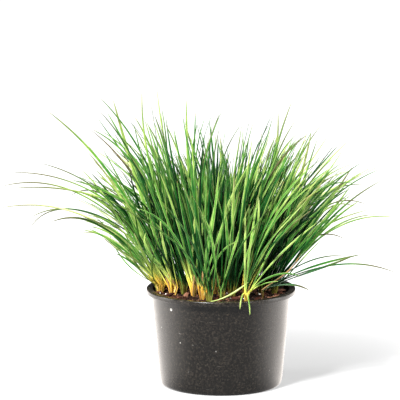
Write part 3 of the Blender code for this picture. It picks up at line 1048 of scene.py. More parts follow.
FAN_LOOKS = {
    "left_low": FanLook(Foot.LIME, (0.72, 0.30, 0.78, 0.40, 0.74), 0.8, (40, 50), (0.7, 1.1)),
    "left_droop": FanLook(Foot.GREEN, (0.50, 0.20, 0.48, 0.16, 0.54), 0.7, (60, 60), (0.8, 1.2)),
    "left_long": FanLook(Foot.GREEN, (0.46, 0.58, 0.26, 0.62, 0.52), 0.7, (65, 50), (0.7, 1.1)),
    "left_sweep": FanLook(Foot.GOLDEN, (0.36, 0.60, 0.50, 0.14, 0.54), 0.85, (25, 32), (0.5, 0.9)),
    "left_tall": FanLook(Foot.GREEN, (0.30, 0.24, 0.36, 0.42, 0.38), 1.0, (5, 26)),
    "left_crest": FanLook(Foot.GOLDEN, (0.52, 0.36, 0.30, 0.22, 0.42), 1.0, (0, 22)),
    "middle_left": FanLook(Foot.GREEN, (0.42, 0.54, 0.48, 0.54, 0.34), 1.0, (-6, 22)),
    "middle_front": FanLook(Foot.EMBER, (0.30, 0.44, 0.36, 0.14, 0.24), 0.75),
    "middle": FanLook(Foot.EMBER, (0.40, 0.54, 0.26, 0.44, 0.30), 0.85),
    "middle_right": FanLook(Foot.GREEN, (0.48, 0.56, 0.32, 0.56, 0.58), 0.85),
    "right_crest": FanLook(Foot.LIME, (0.40, 0.60, 0.48, 0.38, 0.62), dusk=(0.3, 0.9)),
    "right_tall": FanLook(Foot.GREEN, (0.46, 0.32, 0.40, 0.58, 0.42), dusk=(0.3, 0.9)),
    "right_sweep": FanLook(Foot.GREEN, (0.58, 0.38, 0.50, 0.32, 0.60), dusk=(0.4, 0.9)),
    "right_long": FanLook(Foot.GREEN, (0.46, 0.56, 0.62, 0.36, 0.50), 0.9, dusk=(0.4, 0.9)),
    "right_reach": FanLook(Foot.GREEN, (0.50, 0.60, 0.48, 0.36, 0.54), 0.9, dusk=(0.5, 1)),
    "right_low": FanLook(Foot.GREEN, (0.26, 0.22, 0.20, 0.32, 0.28), dusk=(0.6, 1.1)),
    "front_drape": FanLook(Foot.SPRING, (0.60, 0.54, 0.50), 0.3, lone=True),
    "24": FanLook(Foot.GREEN, (0.36, 0.22, 0.44, 0.28, 0.40), 0.55),
    "18": FanLook(Foot.GREEN, (0.42, 0.30, 0.50, 0.36), 0.6),
    "15": FanLook(Foot.GREEN, (0.40, 0.56, 0.34, 0.60, 0.46), 0.8),
    "08": FanLook(Foot.GREEN, (0.46, 0.26, 0.52, 0.34), 0.85),
    "06": FanLook(Foot.GREEN, (0.34, 0.50, 0.30, 0.56, 0.44), 0.85),
    "04": FanLook(Foot.GREEN, (0.50, 0.30, 0.56, 0.40, 0.52)),
}


@dataclass(frozen=True)
class Growing:
    """How the added leaves of a shoot grow.

    Counts come first for a shoot in the front row, then for one behind it. Widths are in mm. A bend is how
    far the terms of a leaf's line are off its model's, and a reach is a range of shares of the model's length.
    Added leaves keep a share of the shoot's tones as painted shade inside the tuft, the short ones a smaller
    share again, and a fresh share of its dusk. A leaf nods if its end's direction, at length one, is under
    frontward along Y and under level along Z.
    """

    front_row: float = -18 * MM
    young: tuple[int, int] = (3, 8)
    strays: tuple[int, int] = (5, 32)
    short: tuple[int, int] = (0, 8)
    sheaths: int = 2
    tries: int = 14
    width: tuple[float, float] = (1.6, 3.1)
    thickness: float = 1.3 * MM
    foot_width: float = 1.1 * MM
    foot_depth: float = 1.0 * MM
    rings: int = 22
    section: tuple[float, ...] = (1, 0.7, 0, -0.7, -1, -0.7, 0, 0.7)
    pallor: tuple[float, float] = (0.1, 0.7)
    # Painted shade: the share of its tone that an added leaf keeps.
    painted_shade_tone: float = 0.68
    fresh: float = 0.4
    young_place: tuple[float, float] = (0.15, 0.85)
    young_bend: float = 11 * MM
    young_reach: tuple[float, float] = (0.6, 1.0)
    stray_turn: float = 0.55
    stray_foot: float = 1.6 * MM
    stray_climb: float = 16 * MM
    stray_bend: float = 10 * MM
    stray_lift: tuple[float, float] = (0.15, 1.1)
    stray_reach: tuple[float, float] = (0.66, 1.08)
    short_reach: float = 0.4
    # Painted shade: the share of its tone that a short leaf keeps again.
    short_painted_shade_tone: float = 0.3
    short_rings: int = 12
    sheath_foot: float = 1.5 * MM
    sheath_bend: float = 30 * MM
    sheath_turn: float = 0.5
    sheath_width: tuple[float, float] = (1.6, 2.8)
    sheath_reach: tuple[float, float] = (0.06, 0.13)
    frontward: float = -0.35
    level: float = 0.3


@dataclass(frozen=True)
class Room:
    """Where the added leaves may be: in the solids' box, clear of the rim, and within the tuft's own outline.

    Heights are above the rim. A leaf that comes further to the front than the overhang keeps higher above it.
    """

    rim_height: float = 108 * MM
    overhang: float = -45 * MM
    above_overhang: float = 45 * MM
    above_rim: float = 12 * MM
    inset: float = 2 * MM
    left_end: float = -165 * MM
    left_start: float = -82 * MM
    right_start: float = 46 * MM
    front_end: float = -74 * MM
    shoulder: float = 60 * MM
    highest: float = 206 * MM
    back_slope: float = 0.2
    right_slope: float = 0.6

    def holds(self, leaf: Leaf, box: Array) -> bool:
        """Tests whether a leaf keeps off the rim and in the tuft.

        Far to the left and to the front, and low on both sides, only the grown leaves reach out, and the top
        is lower at the back and on the right.

        Args:
            leaf: The leaf.
            box: The lowest and highest corners of all the solids.

        Returns:
            Whether it does, from three tenths of its length to its tip.
        """
        line = leaf.at(np.linspace(0.3, 1, 8))
        across, away, height = line[:, 0], line[:, 1], line[:, 2] - self.rim_height
        off_rim = np.all(height > np.where(away < self.overhang, self.above_overhang, self.above_rim))
        inside = np.all((line > box[0] + self.inset) & (line < box[1] - self.inset))
        lowered = self.back_slope * away + self.right_slope * np.maximum(across - self.shoulder, 0)
        topped = np.all(height + lowered < self.highest)
        kept_in = np.all((across > self.left_end) & (away > self.front_end))
        open_below = np.all(height > np.maximum(across - self.right_start, self.left_start - across))
        return bool(off_rim and inside and topped and kept_in and open_below)


@dataclass
class LeafFan:
    """One shoot of the rush: its leaves, the younger ones between them, and the old sheaths at its foot.

    Grown leaves are finer than the solid's, by a share. Painted shade darkens the leaves at their feet, most
    in the middle of the tuft and more on its right, away from the key light. A shoot that has no tones of its
    own gets a mean tone, with painted light making it lighter the further out it is. A crossing leaf's handles
    are its line's two inner points, each a share of its run away from an end.
    """

    node: str
    leaves: list[Leaf]
    rng: np.random.Generator
    growing: Growing = Growing()
    room: Room = Room()
    core: float = 30 * MM
    half_tuft: float = 60 * MM
    # Painted shade at the feet: its most, the share less that the outermost shoots get, and how much more the
    # right side gets.
    darkest_painted_shade: float = 0.46
    outer_light: float = 0.75
    lee: float = 0.25
    mean_tone: float = 0.3
    plain_tones: tuple[float, float] = (0.04, 0.26)
    # Painted light: how much lighter a plain shoot's tone gets the further out it stands.
    outward_painted_light: float = 0.25
    tone_spread: float = 0.25
    tone_limits: tuple[float, float] = (0.02, 0.76)
    pallor: tuple[float, float] = (0.8, 1)
    finer: float = 0.84
    handle: float = 0.37
    crossing_gap: float = 1.1 * MM
    crossing_face: tuple[float, float, float] = (0.25, 1, 0)
    crossing_pallor: float = 0.6
    crease: float = math.radians(30)

    def __post_init__(self) -> None:
        """Notes where the shoot stands, and gives its leaves that place to gather at."""
        self.root = np.mean([leaf.at(np.zeros(1))[0] for leaf in self.leaves], axis=0)
        for leaf in self.leaves:
            leaf.crown = self.root

    @property
    def name(self) -> str:
        """The shoot's name without its kind."""
        return self.node.replace("leaf_fan_", "")

    @property
    def look(self) -> FanLook:
        """The look of this shoot: its own, or the plain one."""
        return FAN_LOOKS.get(self.name, FanLook())

    @property
    def outward(self) -> float:
        """How far out the shoot stands: 0 in the middle of the pot, 1 in the outermost ring."""
        return float(np.clip((np.hypot(*self.root[:2]) - self.core) / self.core, 0, 1))

    @property
    def shaded(self) -> float:
        """How much painted shade darkens the leaves at their feet, standing for the others' shade and for the
        shade on the tuft's right.
        """
        right = float(np.clip(self.root[0] / self.half_tuft + 0.5, 0, 1))
        return self.darkest_painted_shade * (1 - self.outer_light * self.outward) + self.lee * right

    def colour(self) -> None:
        """Gives each grown leaf its own green and its foot, and adds the shoot's crossing leaves."""
        look = self.look
        if look.tones:
            self.mean_tone = float(np.mean(look.tones))
        else:
            # Outer shoots get a lighter tone, as painted light.
            self.mean_tone = self.rng.uniform(*self.plain_tones) + self.outward_painted_light * self.outward
        for index, leaf in enumerate(self.leaves):
            leaf.tone = look.tones[index] if index < len(look.tones) else self._tone()
            leaf.width *= look.slim * self.finer
            leaf.seed = float(self.rng.uniform())
            leaf.foot = look.foot
            leaf.pallor = float(self.rng.uniform(*self.pallor))
            leaf.dusk = float(self.rng.uniform(*look.dusk))
            # Painted shade at the foot of each grown leaf.
            leaf.shaded = self.shaded
        crossings = CROSSINGS.get(self.name, ())
        self.leaves += [self._crossing(crossing, index) for index, crossing in enumerate(crossings)]

    def _crossing(self, crossing: Crossing, index: int) -> Leaf:
        """Makes a crossing leaf, with its flat side to the front.

        Its line is the cubic that leaves the foot towards one handle and arrives at the tip from the other.

        Args:
            crossing: Where it goes.
            index: Its number in the shoot, which sets its foot aside.

        Returns:
            The leaf.
        """
        aside = np.array([(index - 1.5) * self.crossing_gap, 0, 0])
        foot = self.root + (np.array(crossing.start) * MM + aside)
        tip = np.array(crossing.tip) * MM + [0, 0, self.room.rim_height]
        run = tip - foot
        heading = unit(run[None, :2])[0]
        reach = self.handle * np.linalg.norm(run)
        first, last = np.radians([crossing.leaves_at, crossing.arrives_at])
        one = foot + reach * np.array([*heading * np.cos(first), np.sin(first)])
        two = tip - reach * np.array([*heading * np.cos(last), np.sin(last)])
        line = np.array([foot, 3 * (one - foot), 3 * (foot - 2 * one + two), tip - 3 * two + 3 * one - foot])
        sides = unit(np.cross(np.array([one - foot, two - one, tip - two]), self.crossing_face))
        leaf = self._dressed(line, np.array([0.1, 0.5, 0.9]), sides, 1.0)
        leaf.width = crossing.width * MM
        leaf.tone = crossing.tone
        # A crossing leaf gets no painted shade at its foot.
        leaf.shaded = 0.0
        leaf.pallor = self.crossing_pallor
        leaf.dusk = crossing.dusk
        leaf.dry = crossing.dry
        return leaf

    def _tone(self) -> float:
        """A green near this shoot's own."""
        return float(np.clip(self.rng.normal(self.mean_tone, self.tone_spread), *self.tone_limits))

    def fill(self, thicket: Thicket, box: Array) -> None:
        """Adds the young leaves between the grown ones, and the strays that lean out of the fan.

        A shoot at the front gets few of both, so that the shade behind it shows between its leaves. A leaf
        that would nod is left out, but keeps its place free.

        Args:
            thicket: The lines of the leaves that stand.
            box: The lowest and highest corners of all the solids.
        """
        grown = list(self.leaves)
        plan = self.growing
        behind = int(self.root[1] > plan.front_row)
        kinds = [self._between] * plan.young[behind] + [self._stray] * plan.strays[behind]
        kinds += [self._short] * plan.short[behind]
        for make in [] if self.look.lone else kinds:
            for _ in range(plan.tries):
                leaf = make(grown)
                if self.room.holds(leaf, box) and thicket.clear(leaf):
                    thicket.add(leaf)
                    self.leaves += [] if self._nods(leaf) else [leaf]
                    break
        if self.look.foot in (Foot.EMBER, Foot.GOLDEN):
            self.leaves += [self._sheath(grown) for _ in range(plan.sheaths)]

    def _nods(self, leaf: Leaf) -> bool:
        """Whether a leaf ends level or lower and points to the front, where it would look like a hook."""
        end = unit(np.diff(leaf.at(np.array([0.85, 1.0])), axis=0))[0]
        return bool(end[1] < self.growing.frontward and end[2] < self.growing.level)

    def _between(self, grown: list[Leaf]) -> Leaf:
        """Makes a young leaf: it follows a line between two of the fan's leaves and stops short of them.

        Args:
            grown: The fan's leaves.

        Returns:
            The leaf.
        """
        plan = self.growing
        first = int(self.rng.integers(len(grown) - 1))
        left, right = grown[first], grown[first + 1]
        share = self.rng.uniform(*plan.young_place)
        line = left.line * (1 - share) + right.line * share
        line[1:] += self.rng.normal(0, plan.young_bend, (3, 3)) * [1, 1, 0.4]
        return self._dressed(line, left.side_shares, left.sides, self.rng.uniform(*plan.young_reach))

    def _stray(self, grown: list[Leaf]) -> Leaf:
        """Makes a leaf that leans another way: a grown leaf's line, turned about the upright at its foot.

        Args:
            grown: The fan's leaves.

        Returns:
            The leaf.
        """
        plan = self.growing
        model = grown[int(self.rng.integers(len(grown)))]
        turn = self.rng.normal(0, plan.stray_turn)
        spin = np.array([[np.cos(turn), np.sin(turn), 0], [-np.sin(turn), np.cos(turn), 0], [0, 0, 1]])
        line = model.line.copy()
        line[0] += self.rng.normal(0, plan.stray_foot, 3) * [1, 1, 0]
        line[1:] = line[1:] @ spin
        line[1] += [0, 0, self.rng.normal(0, plan.stray_climb)]
        line[1:] += self.rng.normal(0, plan.stray_bend, (3, 3)) * [1, 1, 0.3]
        aside, up = self.look.lift
        line[2] += np.array([aside, 0, up]) * self.rng.uniform(*plan.stray_lift) * MM
        return self._dressed(line, model.side_shares, model.sides @ spin, self.rng.uniform(*plan.stray_reach))

    def _short(self, grown: list[Leaf]) -> Leaf:
        """Makes a leaf that has only just come up, darkened by painted shade for the shade of the others.

        Args:
            grown: The fan's leaves.

        Returns:
            The leaf.
        """
        leaf = self._stray(grown)
        leaf.reach *= self.growing.short_reach
        # Painted shade: a darker green for the shade of the others.
        leaf.tone *= self.growing.short_painted_shade_tone
        leaf.rings = self.growing.short_rings
        return leaf

    def _dressed(self, line: Array, side_shares: Array, sides: Array, reach: float) -> Leaf:
        """Makes an added leaf, with a width, a green and a foot of the fan's kind.

        Args:
            line: Its middle line.
            side_shares: The shares of the line where its sides are given.
            sides: The directions across it there.
            reach: How much of the line it takes.

        Returns:
            The leaf.
        """
        plan = self.growing
        return Leaf(
            line,
            side_shares,
            sides,
            float(self.rng.uniform(*plan.width)) * MM,
            reach=float(reach),
            # Painted shade: added leaves take a darker share of the shoot's green.
            tone=self._tone() * plan.painted_shade_tone,
            seed=float(self.rng.uniform()),
            foot=self.look.foot,
            crown=self.root,
            pallor=float(self.rng.uniform(*plan.pallor)),
            dusk=float(self.rng.uniform(*self.look.dusk)) * plan.fresh,
            thickness=plan.thickness,
            foot_width=plan.foot_width,
            foot_depth=plan.foot_depth,
            # Painted shade at the foot, the same as the shoot's.
            shaded=self.shaded,
            rings=plan.rings,
            section=plan.section,
        )

    def _sheath(self, grown: list[Leaf]) -> Leaf:
        """Makes an old sheath: a short dead leaf beside the fan's foot.

        Args:
            grown: The fan's leaves.

        Returns:
            The sheath.
        """
        plan = self.growing
        model = grown[int(self.rng.integers(len(grown)))]
        line = model.line.copy()
        line[0] += self.rng.normal(0, plan.sheath_foot, 3) * [1, 1, 0]
        line[1:] += self.rng.normal(0, plan.sheath_bend, (3, 3)) * [1, 1, 0.2]
        sides = unit(model.sides + self.rng.normal(0, plan.sheath_turn, 3))
        return Leaf(
            line,
            model.side_shares,
            sides,
            self.rng.uniform(*plan.sheath_width) * MM,
            reach=self.rng.uniform(*plan.sheath_reach),
            tone=0.5,
            seed=float(self.rng.uniform()),
            dry=0.9,
            foot=self.look.foot,
            thickness=0.5 * MM,
            crown=self.root,
            rings=10,
        )

    def build(self, finish: bpy.types.Material) -> bpy.types.Object:
        """Makes the fan's piece, which stands for its solid.

        Args:
            finish: The leaves' material.

        Returns:
            The piece.
        """
        points, faces, values = [], [], []
        start = 0
        for leaf in self.leaves:
            skin, numbers = leaf.surface()
            shell = tube_faces(leaf.rings + 2, len(leaf.section))
            faces += [[corner + start for corner in face] for face in shell]
            points.append(skin)
            values.append(numbers)
            start += len(skin)
        together = {label: np.concatenate([numbers[label] for numbers in values]) for label in values[0]}
        piece = put_mesh(self.node.replace("leaf_fan", "rush_fan"), np.concatenate(points), faces, together)
        piece.data.set_sharp_from_angle(angle=self.crease)
        piece.data.materials.append(finish)
        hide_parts(self.node)
        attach(piece, "root")
        return piece


@dataclass
class Rush:
    """The whole plant: all its fans."""

    seed: int = 5
    spare: float = 1.8 * MM
    fans: list[LeafFan] = field(default_factory=list)

    def build(self, nodes: dict[str, bpy.types.Object], box: Array, finish: bpy.types.Material) -> int:
        """Dresses every fan.

        Args:
            nodes: The solids by name.
            box: The lowest and highest corners of all the solids.
            finish: The leaves' material.

        Returns:
            How many leaves were made.
        """
        rng = np.random.default_rng(self.seed)
        thicket = Thicket(self.spare)
        for node in sorted(name for name in nodes if name.startswith("leaf_fan")):
            fan = LeafFan(node, SolidFan(node).leaves(nodes[node].data), rng)
            fan.colour()
            for leaf in fan.leaves:
                thicket.add(leaf)
            self.fans.append(fan)
        for fan in self.fans:
            thicket.settle()
            fan.fill(thicket, box)
            fan.build(finish)
            LOG.info("shoot %s: %d leaves", fan.name, len(fan.leaves))
        return sum(len(fan.leaves) for fan in self.fans)


@dataclass
class Pot:
    """The nursery pot: a thin turned shell with a flanged rim, and drain holes through its floor."""

    height: float = 108 * MM
    rim_radius: float = 82.5 * MM
    mouth_radius: float = 75.5 * MM
    wall: float = 1.4 * MM
    taper: float = math.radians(5)
    lip_drop: float = 5 * MM
    wall_from: float = 8 * MM
    wall_rows: int = 8
    foot_round: float = 5 * MM
    edge: float = 0.6 * MM
    sides: int = 144
    holes: int = 6
    hole_sides: int = 24
    hole_radius: float = 5 * MM
    hole_circle: float = 46 * MM
    crease: float = math.radians(50)

    def outer_radius(self, height: float) -> float:
        """The wall's outer radius at a height above the foot."""
        return self.mouth_radius + self.wall - (self.height - height) * math.tan(self.taper)

    def profile(self) -> Array:
        """Works out the section: from the floor's middle up the inside, over the rim and down the outside.

        Returns:
            The section's points, each a radius and a height.
        """
        foot = self.outer_radius(0)
        turn = np.linspace(0, np.pi / 2, 7)
        bend = self.foot_round
        inner = bend - self.wall
        inside = np.stack([foot - bend + inner * np.sin(turn), bend - inner * np.cos(turn)], axis=-1)
        outside = np.stack([foot - bend + bend * np.sin(turn), bend - bend * np.cos(turn)], axis=-1)[::-1]
        tall, low, edge = self.height, self.height - self.lip_drop, self.edge
        skirt = self.rim_radius - self.wall
        rows = np.linspace(tall - self.wall_from, bend * 1.5, self.wall_rows)
        walls = np.stack([[self.outer_radius(row) for row in rows], rows], axis=-1)
        rim = [
            *self._rounded((self.mouth_radius, tall), (0, -1), (1, 0), edge * 1.6),
            *self._rounded((self.rim_radius, tall), (-1, 0), (0, -1), edge * 1.6),
            *self._rounded((self.rim_radius, low), (0, 1), (-1, 0), edge * 0.7),
            *self._rounded((skirt, low), (1, 0), (0, 1), edge * 0.7),
            *self._rounded((skirt, tall - self.wall), (0, -1), (-1, 0), edge),
            *self._rounded((self.outer_radius(tall - self.wall), tall - self.wall), (1, 0), (0, -1), edge),
        ]
        lining = np.stack([[self.outer_radius(row) - self.wall for row in rows[::-1]], rows[::-1]], axis=-1)
        return np.vstack([[(0, self.wall)], inside, lining, rim, walls, outside, [(0, 0)]])

    @staticmethod
    def _rounded(corner: Sequence[float], back: Sequence[float], on: Sequence[float], radius: float) -> Array:
        """Rounds a corner with a quarter turn between the way in and the way out.

        Args:
            corner: The sharp corner.
            back: The way from it to where the line comes from, at length one.
            on: The way from it to where the line goes, at length one.
            radius: The turn's radius.

        Returns:
            Four points along the turn.
        """
        turn = np.linspace(0, np.pi / 2, 4)[:, None]
        start = (1 - np.sin(turn)) * np.array(back, float)
        end = (1 - np.cos(turn)) * np.array(on, float)
        return np.array(corner, float) + radius * (start + end)

    def build(self, finish: bpy.types.Material) -> bpy.types.Object:
        """Turns the profile about Z, cuts the drain holes and dresses the pot.

        Args:
            finish: The pot's material.

        Returns:
            The pot's piece.
        """
        profile = self.profile()[1:-1]
        turn = circle(self.sides)
        across = np.stack([np.cos(turn), np.sin(turn)], axis=-1)
        flat = profile[:, None, :1] * across[None]
        level = np.broadcast_to(profile[:, None, 1:], (len(profile), self.sides, 1))
        rings = np.concatenate([flat, level], axis=-1)
        faces = [face[::-1] for face in tube_faces(len(profile), self.sides)]
        shell = put_mesh("nursery_pot", rings.reshape(-1, 3), faces, {})
        self._drill(shell)
        shell.data.set_sharp_from_angle(angle=self.crease)
        shell.data.materials.append(finish)
        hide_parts("pot")
        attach(shell, "root")
        return shell

    def _drill(self, shell: bpy.types.Object) -> None:
        """Cuts the drain holes with round bars, and keeps the cut mesh.

        Args:
            shell: The turned pot.
        """
        turn = circle(self.hole_sides)
        ring = np.stack([np.cos(turn), np.sin(turn)], axis=-1) * self.hole_radius
        for angle in circle(self.holes):
            middle = self.hole_circle * np.array([math.cos(angle), math.sin(angle)])
            ends = (-4 * MM, 6 * MM)
            levels = [np.column_stack([ring + middle, np.full(self.hole_sides, end)]) for end in ends]
            bar = put_mesh("drill", np.vstack(levels), tube_faces(2, self.hole_sides), {})
            cut = shell.modifiers.new("drain_hole", "BOOLEAN")
            cut.operation = "DIFFERENCE"
            cut.object = bar
            graph = bpy.context.evaluated_depsgraph_get()
            mesh = bpy.data.meshes.new_from_object(shell.evaluated_get(graph))
            shell.modifiers.clear()
            shell.data = mesh
            bpy.data.objects.remove(bar)


def value_noise(across: Array, away: Array, pitch: float, seed: int) -> Array:
    """Works out random heights on a square lattice, joined smoothly between its corners.

    Args:
        across: Places along X.
        away: Places along Y.
        pitch: The lattice's pitch.
        seed: Picks the heights.

    Returns:
        A height from -1 to 1 for each place.
    """
    cells = 96
    lattice = np.random.default_rng(seed).uniform(-1, 1, (cells + 1, cells + 1))
    u, v = across / pitch + cells / 2, away / pitch + cells / 2
    i, j = np.floor(u).astype(int), np.floor(v).astype(int)
    a, b = u - i, v - j
    a, b = a * a * (3 - 2 * a), b * b * (3 - 2 * b)
    i, j = i % cells, j % cells
    low = lattice[i, j] * (1 - a) + lattice[i + 1, j] * a
    high = lattice[i, j + 1] * (1 - a) + lattice[i + 1, j + 1] * a
    return low * (1 - b) + high * b


@dataclass(frozen=True)
class Loose:
    """One kind of loose bits on the potting mix: its finish, how many there are, how big and of what shape.

    The size is in mm. A bit's length and height are shares of its size, and it has so many corners around,
    pushed in and out by a share and up and down by the jitter. It is tilted at random, and its middle lies
    above the mix by a share of its height.
    """

    kind: str
    finish: MixFinish
    count: int
    size: tuple[float, float]
    longer: tuple[float, float] = (1, 1.35)
    flat: tuple[float, float] = (0.6, 0.95)
    around: int = 8
    seed: int = 13
    push: tuple[float, float] = (0.7, 1.15)
    jitter: float = 0.2
    tilt: float = 0.3
    lies_up: float = 0.3


CRUMBS = Loose("crumb", CRUMB_FINISH, 1500, (0.5, 1.5), around=6, seed=14)
BARK = Loose("bark", BARK_FINISH, 130, (1.8, 4.4), longer=(1.4, 2.8), flat=(0.25, 0.45))
GRIT = Loose("grit", GRIT_FINISH, 46, (0.6, 1.5))


@dataclass
class PottingMix:
    """The potting mix: a crumbly dome under the rim, with crumbs, bark and grit lying on it.

    The pole is the top's first ring as a share of its last, and crumb heights are in mm.
    """

    pot: Pot
    below_rim: float = 4.5 * MM
    dome: float = 2.5 * MM
    lump: float = 0.8 * MM
    edge: float = 74.4 * MM
    rings: int = 90
    sides: int = 288
    pole: float = 0.004
    off_wall: float = 1 * MM
    off_floor: float = 0.5 * MM
    bare_edge: float = 3 * MM
    lump_pitches: tuple[float, float, float] = (9 * MM, 7 * MM, 5 * MM)
    crumb_pitches: tuple[float, ...] = (5.3 * MM, 2.4 * MM, 1.2 * MM)
    crumb_heights: tuple[float, ...] = (0.7, 0.55, 0.4)
    shade_pitch: float = 6 * MM
    mean_shade: float = 0.3
    shade_range: float = 0.25

    def height(self, across: Array, away: Array) -> Array:
        """Works out the mix's height: the solid's own dome and lumps, with three scales of crumb on top.

        Args:
            across: Places along X.
            away: Places along Y.

        Returns:
            The height above the pot's foot for each place.
        """
        out = np.hypot(across, away) / self.pot.mouth_radius
        wide, deep, slant = self.lump_pitches
        lumps = np.sin(across / wide + 1) * np.cos(away / deep) + 0.5 * np.sin((across + away) / slant)
        dome = self.pot.height - self.below_rim + self.dome * (1 - out * out) + self.lump * lumps / 1.5
        crumb = np.zeros_like(dome)
        for seed, (pitch, high) in enumerate(zip(self.crumb_pitches, self.crumb_heights), start=1):
            crumb += high * value_noise(across, away, pitch, seed)
        return dome + crumb * MM

    def build(self, finish: bpy.types.Material) -> bpy.types.Object:
        """Makes the mix's body: the crumbly top on a polar grid, a wall and a floor inside the pot.

        Args:
            finish: The mix's material.

        Returns:
            The piece, which stands for the solid.
        """
        turn = circle(self.sides)
        radii = self.edge * np.linspace(self.pole, 1, self.rings)
        across = radii[:, None] * np.cos(turn)
        away = radii[:, None] * np.sin(turn)
        top = np.stack([across, away, self.height(across, away)], axis=-1)
        bend = self.pot.foot_round
        foot = self.pot.outer_radius(bend) - self.pot.wall - self.off_wall
        lower = [(foot, bend + self.off_wall), (foot - bend, self.pot.wall + self.off_floor)]
        walls = [
            np.stack([radius * np.cos(turn), radius * np.sin(turn), np.full(self.sides, level)], axis=-1)
            for radius, level in lower
        ]
        points = np.concatenate([top, np.array(walls)])
        faces = [face[::-1] for face in tube_faces(self.rings + 2, self.sides)]
        patches = value_noise(points[..., 0], points[..., 1], self.shade_pitch, len(self.crumb_pitches) + 1)
        shade = self.mean_shade + self.shade_range * patches
        bed = put_mesh("potting_mix_bed", points.reshape(-1, 3), faces, {"shade": shade.reshape(-1)})
        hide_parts("soil")
        return self._dressed(bed, finish)

    def scatter(self, loose: Loose, finish: bpy.types.Material) -> bpy.types.Object:
        """Lays one kind of loose bits on the mix.

        Each bit is a low drum of three rings whose corners are pushed in and out at random. It is tilted, and
        turned to a heading of its own.

        Args:
            loose: Which kind.
            finish: Its material.

        Returns:
            The piece that holds them all.
        """
        rng = np.random.default_rng(loose.seed)
        count, around = loose.count, loose.around
        radius = (self.edge - self.bare_edge) * np.sqrt(rng.uniform(0, 1, count))
        heading = rng.uniform(0, 2 * np.pi, count)
        middle = np.stack([radius * np.cos(heading), radius * np.sin(heading)], axis=-1)
        size = rng.uniform(*loose.size, count) * MM
        longer = rng.uniform(*loose.longer, count)
        flat = rng.uniform(*loose.flat, count)
        turn = circle(around)
        ring_size = np.array([0.62, 1.0, 0.66])
        ring_level = np.array([-0.9, 0.0, 0.9])
        push = rng.uniform(*loose.push, (count, 3, around))
        stir = rng.uniform(-loose.jitter, loose.jitter, push.shape)
        u = ring_size[None, :, None] * np.cos(turn) * push * (size * longer)[:, None, None]
        v = ring_size[None, :, None] * np.sin(turn) * push * size[:, None, None]
        w = (ring_level[None, :, None] + stir) * (size * flat)[:, None, None]
        tilt = rng.normal(0, loose.tilt, count)[:, None, None]
        u, w = u * np.cos(tilt) - w * np.sin(tilt), u * np.sin(tilt) + w * np.cos(tilt)
        yaw = rng.uniform(0, np.pi, count)[:, None, None]
        x = middle[:, 0, None, None] + u * np.cos(yaw) - v * np.sin(yaw)
        y = middle[:, 1, None, None] + u * np.sin(yaw) + v * np.cos(yaw)
        bed = self.height(middle[:, 0], middle[:, 1]) + size * flat * loose.lies_up
        points = np.stack([x, y, bed[:, None, None] + w], axis=-1).reshape(-1, 3)
        drum = tube_faces(3, around)
        faces = [[corner + k * 3 * around for corner in face] for k in range(count) for face in drum]
        values = {
            "shade": np.repeat(rng.uniform(0, 1, count), 3 * around),
            "across": (v / size[:, None, None]).reshape(-1),
            "along": (u / size[:, None, None]).reshape(-1),
        }
        return self._dressed(put_mesh("potting_mix_" + loose.kind, points, faces, values), finish)

    @staticmethod
    def _dressed(piece: bpy.types.Object, finish: bpy.types.Material) -> bpy.types.Object:
        """Gives one piece of the mix its material and its body.

        Args:
            piece: The piece.
            finish: Its material.

        Returns:
            The piece.
        """
        piece.data.materials.append(finish)
        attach(piece, "root")
        return piece


